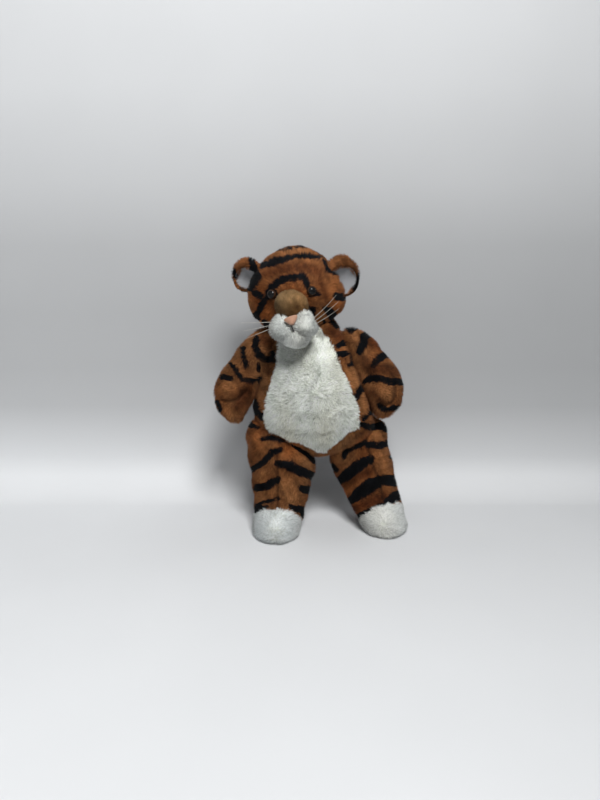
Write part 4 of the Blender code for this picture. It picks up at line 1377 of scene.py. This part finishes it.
class OBJECT_OT_tiger_eyes(bpy.types.Operator):
    """Eyes: polished domes with a brown ring deep in the plastic"""

    bl_idname = "object.tiger_eyes"
    bl_label = "Eyes"

    def execute(self, context):
        face = context.scene.tiger_face
        material, tree, shader = new_material("eye_plastic")
        where = tree.nodes.new("ShaderNodeAttribute")
        where.attribute_name = "pile"
        tree.links.new(where.outputs["Color"], shader.inputs["Base Color"])
        tree.links.new(spread(tree, noise_node(tree, 2 * MM), 0.03, 0.06), shader.inputs["Roughness"])
        shader.inputs["Specular IOR Level"].default_value = 0.20
        for word, side in SIDES.items():
            spot = np.array((side * EYE[0], 0, EYE[1]), float)
            spot[1] = self.surface_y(spot)
            out = self.normal_at(spot)
            turns = np.linspace(0, pi, 25)
            across = unit(np.cross(out, (0, 0, 1.0)))
            up = np.cross(across, out)
            ring = np.linspace(0, 2 * pi, 48, endpoint=False)
            wide = face.eye_radius / MM * np.sin(turns)
            deep = np.where(turns < pi / 2, face.eye_bulge / MM, 1.6) * np.cos(turns)
            local = (spot + out * deep[:, None, None]
                     + wide[:, None, None] * (np.cos(ring)[:, None] * across
                                              + np.sin(ring)[:, None] * up))
            verts, faces = closed_grid(HEAD_FORM.world(local))
            piece = add_object(f"eye_{word}_dome", verts, faces, material)
            from_middle = np.linalg.norm(verts - HEAD_FORM.world(spot), axis=1) / face.eye_radius
            brown = ((from_middle > 0.93) & (from_middle < 1.0))[:, None]
            set_colours(piece.data, np.where(brown, (0.030, 0.014, 0.007), (0.002, 0.002, 0.002)))
            settle(piece, "head", "eye_plastic", f"eye_{word}")
            self.washer(word)
        return {"FINISHED"}

    def washer(self, word):
        """The hidden washer keeps its own shape and gets a moulded finish."""
        moulded = shared("washer_plastic", plain_material, (0.55, 0.55, 0.53), 0.4, 0.8 * MM,
                         0.05 * MM, 0.05)
        for slot in frame["nodes"][f"eye_washer_{word}"].material_slots:
            slot.material = moulded

    def surface_y(self, spot):
        """The head's front at a place across and up: the ellipse of the ring at that height."""
        rings = HEAD_FORM.rings
        wide, deep = (np.interp(spot[2], rings[:, 2], rings[:, k]) for k in (3, 4))
        return -deep * np.sqrt(1 - (spot[0] / wide) ** 2)

    def normal_at(self, spot):
        """The way out of the head there, from small steps across and up."""
        step = 0.5
        across = np.array((step, self.surface_y(spot + (step, 0, 0)) - spot[1], 0))
        up = np.array((0, self.surface_y(spot + (0, 0, step)) - spot[1], step))
        return unit(np.cross(across, up))


def tube(name, path, radii, sides, material):
    """A tube: rings square to a path, closed by a point at each end."""
    run = unit(np.gradient(path, axis=0))
    first = np.array((0.3, 0.2, 0.93))
    across = unit(np.cross(run, first))
    up = np.cross(run, across)
    turns = np.linspace(0, 2 * pi, sides, endpoint=False)
    rings = (path[:, None] + radii[:, None, None]
             * (np.cos(turns)[:, None] * across[:, None] + np.sin(turns)[:, None] * up[:, None]))
    ends = [np.repeat(path[k][None, None], sides, 1) for k in (0, -1)]
    verts, faces = closed_grid(np.concatenate((ends[0], rings, ends[1])))
    return add_object(name, verts, faces, material)


class OBJECT_OT_tiger_whiskers(bpy.types.Operator):
    """Whiskers: pale nylon bristles out of both lobes, thinning to their tips"""

    bl_idname = "object.tiger_whiskers"
    bl_label = "Whiskers"

    def execute(self, context):
        colours, face = context.scene.tiger_colours, context.scene.tiger_face
        nylon = shared("whisker_nylon", plain_material, tuple(colours.nylon), 0.28, 1 * MM,
                       0.02 * MM, 0.06, Transmission_Weight=0.25)
        for word, side in SIDES.items():
            for k in range(3):
                piece = self.whisker(face, side, k, radians(WHISKER_LIFTS[word][k]), nylon, word)
                settle(piece, "head", "whisker_nylon", f"whisker_{word}_{k + 1}")
        return {"FINISHED"}

    def whisker(self, face, side, k, lift, nylon, word):
        """Along the whisker its direction rises by an eighth and bows forward, and it thins."""
        t = np.linspace(0, 1, 28)
        place, radii, _ = LOBE
        drop = -31.5 - 3.5 * k
        wide = radii[0] * np.sqrt(1 - ((drop - place[2]) / radii[2]) ** 2)
        start = np.array((side * (place[0] + wide - 4), place[1] - 2, drop))
        bend = lift * (1 + t / 8)
        long = face.whisker_length / MM * WHISKER_LENGTHS[k]
        path = start + np.stack((side * np.cos(bend), -0.10 * np.sin(pi * t), np.sin(bend)), 1) \
            * (long * t)[:, None]
        radii = face.whisker_radius * (1 - 0.65 * t)
        return tube(f"whisker_{word}_{k + 1}_bristle", HEAD_FORM.world(path), radii, 8, nylon)


class OBJECT_OT_tiger_ears(bpy.types.Operator):
    """Ears: cupped, with orange pile on back and rim and smooth pale lining in the cup"""

    bl_idname = "object.tiger_ears"
    bl_label = "Ears"

    def execute(self, context):
        colours, pile = context.scene.tiger_colours, context.scene.tiger_pile
        lining = shared("ear_lining_cloth", plain_material, tuple(colours.lining), 0.7, 0.5 * MM,
                        0.12 * MM, Sheen_Weight=0.3)
        for word, side in SIDES.items():
            axes = HEAD_FORM.axes @ np.array(Euler((0, 0, radians(side * EAR_TURN))).to_matrix())
            place = HEAD_FORM.world(np.array(EAR_PLACE[word], float))
            verts, faces = self.cup(word, axes, place, pile.ear * 0.45)

            def colour_at(points, normals):
                return coat(points, normals, "ears", colours.orange)

            cloth = cover(f"ear_{word}_cloth", verts, faces, colour_at, "head", "orange_plush",
                          (f"ear_back_{word}",))

            def on_rim(points, normals):
                spots = (points - place) @ axes / MM
                (x, z), (wide, high) = EAR_OPENING
                round_cup = np.hypot((spots[:, 0] - side * x) / (wide + 0.6),
                                     (spots[:, 2] / EAR_HEIGHTS[word] - z) / (high + 0.6))
                in_cup = (round_cup < 1) & (normals @ axes[:, 1] < 0.5)
                return ~in_cup & ~HEAD_FORM.inside(points, -3)

            fur = grow_pile(
                f"ear_{word}_pile", cloth, pile.ear, colour_at, 400 + side,
                orange_fur(), keep=on_rim, lean=0.3,
                flow=lambda p: p - place, density=1.25,
            )
            settle(fur, "head", "orange_plush")
            self.lining(word, axes, place, lining)
        return {"FINISHED"}

    def ring(self, word, share, size, turns):
        """At angle t: centre and radii slide from the outer circle to the opening by a share."""
        (x, z), (wide, high) = EAR_OPENING
        side = SIDES[word]
        share, size = np.asarray(share)[..., None], np.asarray(size)[..., None]
        across = side * x * share + size * (EAR_RADIUS * (1 - share) + wide * share) * np.cos(turns)
        along = z * share + size * (EAR_RADIUS * (1 - share) + high * share) * np.sin(turns)
        return across, EAR_HEIGHTS[word] * along

    def cup(self, word, axes, place, inset):
        """The ear's rings from its back over the thick rim into the cup, read along its profile."""
        table = [(share, 0, depth, size, size) for share, size, depth in EAR_PROFILE]
        rows = read_along(table, 40)
        turns = np.linspace(0, 2 * pi, 56, endpoint=False)
        across, along = self.ring(word, rows[:, 0].clip(0, 1), rows[:, 3], turns)
        local = np.stack(np.broadcast_arrays(across, rows[:, 2:3], along), -1)
        verts, faces = closed_grid(local @ axes.T * MM + place)
        return verts - point_normals(verts, split(faces)) * inset, faces

    def lining(self, word, axes, place, material):
        """A shallow dish in the opening: depth falls with the square of the radius, with folds."""
        size = np.linspace(0, 1.04, 18)
        turns = np.linspace(0, 2 * pi, 56, endpoint=False)
        across, along = self.ring(word, np.ones(18), size, turns)
        fold = 0.4 * np.sin(5 * turns + SIDES[word]) * size[:, None] ** 2
        depth = 4.6 - 7.6 * size[:, None] ** 2 + fold
        top = np.stack((across, depth, along), -1)
        under = top[::-1] + np.array((0, 0.9, 0))
        verts, faces = closed_grid(np.concatenate((top, under)) @ axes.T * MM + place)
        piece = add_object(f"ear_{word}_lining", verts, faces, material)
        settle(piece, "head", "ear_lining", f"ear_lining_{word}")


class OBJECT_OT_tiger_arms(bpy.types.Operator):
    """Arms: stubby and stuffed, flat where they are sewn to the torso, with a seam at the paw"""

    bl_idname = "object.tiger_arms"
    bl_label = "Arms"

    def execute(self, context):
        colours, pile = context.scene.tiger_colours, context.scene.tiger_pile
        for word in SIDES:
            key = f"arm_{word}"
            spot, out = seam_plane(word)

            def shape(points):
                points = sewn(points, key, SEAM_DEPTHS["arm"], spot[1])
                return press_flat(clear_of_head(points, 2.0), spot + out * SEAM_GAP, -out)

            def colour_at(points, normals):
                return coat(points, normals, key, colours.orange)

            cloth = dress(f"{key}_cloth", arm_form(word), colour_at, key, "orange_plush",
                          pile.cloth_depth, 40, 48, shape,
                          (f"arm_skin_{word}", f"arm_filling_{word}"))
            fur = grow_pile(
                f"{key}_pile", cloth, pile.body, colour_at, 500 + SIDES[word],
                orange_fur(),
                keep=lambda p, n: ~TORSO_FORM.inside(p, -9) & ~HEAD_FORM.inside(p, -4),
                length_at=lambda p, n: beside_seam(p, key),
            )
            settle(fur, key, "orange_plush")
        return {"FINISHED"}


def beside_seam(points, key):
    """Pile is shorter in the few millimetres beside a sewn seam in front."""
    return 1 - 0.6 * at_seam(points, key)


class OBJECT_OT_tiger_legs(bpy.types.Operator):
    """Legs: a front seam, striped pile, white toes and a flat sole"""

    bl_idname = "object.tiger_legs"
    bl_label = "Legs and feet"

    def execute(self, context):
        for word in SIDES:
            self.leg(context, word)
        return {"FINISHED"}

    def leg(self, context, word):
        colours, pile = context.scene.tiger_colours, context.scene.tiger_pile
        key = f"leg_{word}"
        hip = JOINTS[f"leg_{word}_swing"]

        def shape(points):
            points = sewn(points, key, SEAM_DEPTHS["leg"], hip[1])
            points[:, 2] = np.maximum(points[:, 2], FOOT_FLOOR)
            return points

        def in_toe(points, normals):
            spots = in_picture(points) + 0.5 * ripple(points, 3 * MM, 61)[:, None]
            in_front = (normals[:, 1] < 0.3) & (points[:, 2] < TOE_TOP)
            return within(spots, TOE_OUTLINES[word]) & in_front

        def colour_at(points, normals):
            found = coat(points, normals, key, colours.orange)
            toe = in_toe(points, normals)
            found[toe] = np.array(colours.white) * WHITE_BACKING
            return found

        def cloth_colour_at(points, normals):
            """Felt white underneath, where no pile grows."""
            found = colour_at(points, normals)
            found[normals[:, 2] < UNDERSIDE] = np.array(colours.white) * WHITE_UNDERSIDE
            return found

        def white_at(points, normals):
            return coat(points, normals, "toe", colours.white, 0.14) * (0.90, 0.90, 0.98)

        slim = leg_form(word, pile.cloth_depth / MM)
        cloth = dress(f"{key}_cloth", slim, cloth_colour_at, key, "orange_plush", 0.0, 52, 64,
                      shape, (f"leg_skin_{word}", f"leg_filling_{word}"))
        fur = grow_pile(
            f"{key}_pile", cloth, pile.body, colour_at, 600 + SIDES[word],
            orange_fur(),
            keep=lambda p, n: ~in_toe(p, n) & (n[:, 2] > UNDERSIDE) & ~TORSO_FORM.inside(p, -14),
            length_at=lambda p, n: beside_seam(p, key),
        )
        settle(fur, key, "orange_plush")
        front = leg_form(word).world(np.array((LEG[word][-3][0], -70.0, -85)))
        toe = grow_pile(
            f"toe_{word}_pile", cloth, pile.toe, white_at, 610 + SIDES[word],
            white_fur(),
            keep=lambda p, n: in_toe(p, n) & (n[:, 2] > UNDERSIDE - 0.05),
            flow=lambda p: unit(p - front) + np.array((0, 0, -0.3)),
            rings=2, density=0.95, tuft=3 * MM, pull=0.18, ruffle=0.20, root=0.80,
            stray=0.24,
        )
        settle(toe, key, "white_plush", f"toe_cap_{word}")
        self.sole(word, key, colours)

    def sole(self, word, key, colours):
        """A flat oval plate with a rounded edge, its radius the same share of an ellipse."""
        low, high = (np.array(corner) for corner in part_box(f"sole_{word}"))
        middle, half = (low + high) / 2, (high - low) / 2 - (SOLE_EDGE, SOLE_EDGE, 0)
        profile = np.array(((0, 1), (0.55, 1), (0.93, 1), (0.985, 0.7), (1, 0.1), (0.985, -0.6),
                            (0.95, -1), (0.55, -1), (0, -1)))
        turns = np.linspace(0, 2 * pi, 64, endpoint=False)
        grid = np.stack(np.broadcast_arrays(profile[:, :1] * np.cos(turns) * half[0],
                                            profile[:, :1] * np.sin(turns) * half[1],
                                            profile[:, 1:] * half[2]), -1) + middle
        verts, faces = closed_grid(grid)
        felt = shared("sole_felt", plain_material, tuple(0.8 * c for c in colours.white), 0.95,
                      0.7 * MM, 0.3 * MM)
        piece = add_object(f"{key}_sole", verts, faces, felt)
        settle(piece, key, "white_plush", f"sole_{word}")


class OBJECT_OT_tiger_tail(bpy.types.Operator):
    """Tail: ringed with black and ending in a black tip"""

    bl_idname = "object.tiger_tail"
    bl_label = "Tail"

    def execute(self, context):
        colours, pile = context.scene.tiger_colours, context.scene.tiger_pile
        rows = [(*row[:3], row[3], row[3]) for row in TAIL]
        dense = read_along([(0, -9, 0, 0, 0), *rows, (-68.5, 24, -112.5, 0, 0)], 48)
        path = (dense[:, :3] + TAIL_SEAT) * MM
        radii = np.maximum(dense[:, 3] * MM - 0.85 * pile.cloth_depth, 0)
        run = unit(np.gradient(path, axis=0))
        across = unit(np.array((1.0, 0, 0)) - run * run[:, :1])
        up = np.cross(run, across)
        turns = np.linspace(0, 2 * pi, 32, endpoint=False)
        grid = path[:, None] + radii[:, None, None] * (
            np.cos(turns)[:, None] * across[:, None] + np.sin(turns)[:, None] * up[:, None])
        grid[0], grid[-1] = path[0], path[-1]
        verts, faces = closed_grid(grid)
        place = np.linspace(0, 1, len(path))

        def colour_at(points, normals):
            found = coat(points, normals, "tail", colours.orange)
            near = np.argmin(((points[:, None] - path[None]) ** 2).sum(-1), 1)
            along = place[near] + 0.014 * ripple(points, 2.4 * MM, 71)
            black = along > TAIL_TIP_START
            for ring in TAIL_RINGS:
                black |= np.abs(along - ring) < 0.028
            found[black] = np.array(colours.black)
            return found

        cloth = cover("tail_cloth", verts, faces, colour_at, "tail", "orange_plush",
                      ("tail_skin", "tail_filling", "tail_tip"))
        fur = grow_pile(
            "tail_pile", cloth, pile.body, colour_at, 701, orange_fur(),
            keep=lambda p, n: ~TORSO_FORM.inside(p, -5), density=1.2,
        )
        settle(fur, "tail", "orange_plush")
        return {"FINISHED"}


class OBJECT_OT_tiger_stage(bpy.types.Operator):
    """Stage: a pale sweep of floor and wall, soft lamps and the camera"""

    bl_idname = "object.tiger_stage"
    bl_label = "Stage, lamps and camera"

    def execute(self, context):
        self.sweep(context.scene.tiger_colours)
        self.lamps(context)
        self.camera(context)
        context.scene.view_settings.view_transform = "Standard"
        return {"FINISHED"}

    def sweep(self, colours):
        """One sheet: level in front, a quarter circle, then upright behind."""
        steps = 12
        edge = SHEET_WALL - SHEET_BEND
        front = np.linspace(-SHEET_REACH, edge, steps)
        turns = np.linspace(0, pi / 2, 16)[1:]
        rise = np.linspace(SHEET_BEND, SHEET_REACH, steps)[1:]
        y = np.concatenate((front, edge + SHEET_BEND * np.sin(turns),
                            np.full(len(rise), SHEET_WALL)))
        z = np.concatenate((np.zeros(steps), SHEET_BEND - SHEET_BEND * np.cos(turns), rise))
        x = np.linspace(-SHEET_REACH, SHEET_REACH, steps)
        grid = np.stack(np.broadcast_arrays(x[None], y[:, None], z[:, None]), -1)
        rows, cols = grid.shape[:2]
        near = (np.arange(rows - 1)[:, None] * cols + np.arange(cols - 1)).ravel()
        faces = np.stack((near, near + 1, near + cols + 1, near + cols), 1).tolist()
        material, tree, shader = new_material("studio_sweep")
        where = tree.nodes.new("ShaderNodeTexCoord")
        parts = tree.nodes.new("ShaderNodeSeparateXYZ")
        tree.links.new(where.outputs["Object"], parts.inputs[0])
        # Painted light and shade: the paper's colour goes with height and falls from left to right
        ramp = tree.nodes.new("ShaderNodeValToRGB")
        tree.links.new(parts.outputs["Z"], ramp.inputs["Fac"])
        while len(ramp.color_ramp.elements) < len(PAPER_PAINTED_LIGHT):
            ramp.color_ramp.elements.new(1.0)
        for stop, (height, shade) in zip(ramp.color_ramp.elements, PAPER_PAINTED_LIGHT):
            stop.position = height
            stop.color = (*(shade * c for c in colours.paper), 1)
        painted_fall = tree.nodes.new("ShaderNodeMapRange")
        for socket, value in zip(("From Min", "From Max", "To Min", "To Max"),
                                 (-1, 1, 1 + PAPER_PAINTED_FALL, 1 - PAPER_PAINTED_FALL)):
            painted_fall.inputs[socket].default_value = value
        tree.links.new(parts.outputs["X"], painted_fall.inputs["Value"])
        paper = tinted(tree, ramp.outputs["Color"], painted_fall.outputs["Result"])
        cloudy = spread(tree, noise_node(tree, 0.25, 2.0), 0.98, 1.02)
        tree.links.new(tinted(tree, paper, cloudy), shader.inputs["Base Color"])
        shader.inputs["Roughness"].default_value = 0.85
        bump(tree, shader, noise_node(tree, 0.0012), 0.0002, 0.15)
        self.open_from_behind(tree, shader)
        add_object("studio_sweep", grid.reshape(-1, 3), faces, material)

    def open_from_behind(self, tree, shader):
        """A camera behind the sheet looks through it: its back is clear to camera rays alone."""
        light = tree.nodes.new("ShaderNodeLightPath")
        side = tree.nodes.new("ShaderNodeNewGeometry")
        both = tree.nodes.new("ShaderNodeMath")
        both.operation = "MULTIPLY"
        clear = tree.nodes.new("ShaderNodeBsdfTransparent")
        mix = tree.nodes.new("ShaderNodeMixShader")
        output = tree.nodes["Material Output"]
        tree.links.new(light.outputs["Is Camera Ray"], both.inputs[0])
        tree.links.new(side.outputs["Backfacing"], both.inputs[1])
        tree.links.new(both.outputs["Value"], mix.inputs["Fac"])
        tree.links.new(shader.outputs["BSDF"], mix.inputs[1])
        tree.links.new(clear.outputs["BSDF"], mix.inputs[2])
        tree.links.new(mix.outputs["Shader"], output.inputs["Surface"])

    def lamps(self, context):
        """Round soft lamps that look at the tiger's middle, and the room's light."""
        for name, (place, width, watts) in LAMPS.items():
            light = bpy.data.lights.new(name, "AREA")
            light.shape = "DISK"
            light.size = width
            light.energy = watts
            lamp = bpy.data.objects.new(name, light)
            aim(lamp, np.array(place), np.array(LAMPS_LOOK_AT))
            context.scene.collection.objects.link(lamp)
        context.scene.world = self.room()

    def room(self):
        """Dim light all round; the camera and mirrors see a pale room."""
        world = bpy.data.worlds.new("soft_room")
        world.use_nodes = True
        tree = world.node_tree
        dim = tree.nodes["Background"]
        dim.inputs["Color"].default_value = (0.92, 0.96, 1.0, 1)
        dim.inputs["Strength"].default_value = 0.05
        pale = tree.nodes.new("ShaderNodeBackground")
        pale.inputs["Color"].default_value = (0.55, 0.57, 0.59, 1)
        seen = tree.nodes.new("ShaderNodeLightPath")
        mix = tree.nodes.new("ShaderNodeMixShader")
        both = [tree.nodes.new("ShaderNodeMath") for _ in range(2)]
        for node in both:
            node.operation = "MAXIMUM"
        tree.links.new(seen.outputs["Is Camera Ray"], both[0].inputs[0])
        tree.links.new(seen.outputs["Is Glossy Ray"], both[0].inputs[1])
        tree.links.new(both[0].outputs[0], both[1].inputs[0])
        tree.links.new(seen.outputs["Is Transmission Ray"], both[1].inputs[1])
        tree.links.new(both[1].outputs[0], mix.inputs["Fac"])
        tree.links.new(dim.outputs[0], mix.inputs[1])
        tree.links.new(pale.outputs[0], mix.inputs[2])
        tree.links.new(mix.outputs[0], tree.nodes["World Output"].inputs["Surface"])
        return world

    def camera(self, context):
        """The camera that took the picture: its lens follows from the focal length in pixels."""
        view = bpy.data.cameras.new("camera")
        view.sensor_fit = "VERTICAL"
        view.sensor_height = 24.0
        view.lens = view.sensor_height * FOCAL_PIXELS / PICTURE[1]
        view.clip_start = 0.01
        camera = bpy.data.objects.new("camera", view)
        back = np.array((0, -cos(CAMERA_RISE), sin(CAMERA_RISE)))
        aim(camera, LOOK_AT + CAMERA_DISTANCE * back, LOOK_AT)
        context.scene.collection.objects.link(camera)
        context.scene.camera = camera


def aim(thing, place, look_at):
    """Puts a lamp or camera at a place, its -Z towards a point and its top up."""
    thing.location = Vector(place)
    thing.rotation_euler = Vector(look_at - place).to_track_quat("-Z", "Y").to_euler()


OPERATORS = (
    OBJECT_OT_tiger_torso,
    OBJECT_OT_tiger_head,
    OBJECT_OT_tiger_muzzle,
    OBJECT_OT_tiger_eyes,
    OBJECT_OT_tiger_whiskers,
    OBJECT_OT_tiger_ears,
    OBJECT_OT_tiger_arms,
    OBJECT_OT_tiger_legs,
    OBJECT_OT_tiger_tail,
    OBJECT_OT_tiger_stage,
)
GROUPS = {"tiger_colours": TigerColours, "tiger_pile": TigerPile, "tiger_face": TigerFace}


class VIEW3D_PT_tiger(bpy.types.Panel):
    """Lists the tiger's settings and the buttons that build its pieces"""

    bl_label = "Plush tiger"
    bl_idname = "VIEW3D_PT_tiger"
    bl_space_type = "VIEW_3D"
    bl_region_type = "UI"
    bl_category = "Tiger"

    def draw(self, context):
        for group, kind in GROUPS.items():
            box = self.layout.box()
            for name in kind.__annotations__:
                box.prop(getattr(context.scene, group), name)
        for operator in OPERATORS:
            self.layout.operator(operator.bl_idname)


def register():
    for kind in (*GROUPS.values(), *OPERATORS, VIEW3D_PT_tiger):
        bpy.utils.register_class(kind)
    for name, kind in GROUPS.items():
        setattr(bpy.types.Scene, name, bpy.props.PointerProperty(type=kind))


def unregister():
    for name in GROUPS:
        delattr(bpy.types.Scene, name)
    for kind in reversed((*GROUPS.values(), *OPERATORS, VIEW3D_PT_tiger)):
        bpy.utils.unregister_class(kind)


def main():
    register()
    bpy.ops.object.tiger_torso()
    bpy.ops.object.tiger_head()
    bpy.ops.object.tiger_muzzle()
    bpy.ops.object.tiger_eyes()
    bpy.ops.object.tiger_whiskers()
    bpy.ops.object.tiger_ears()
    bpy.ops.object.tiger_arms()
    bpy.ops.object.tiger_legs()
    bpy.ops.object.tiger_tail()
    bpy.ops.object.tiger_stage()


if __name__ == "__main__":
    main()
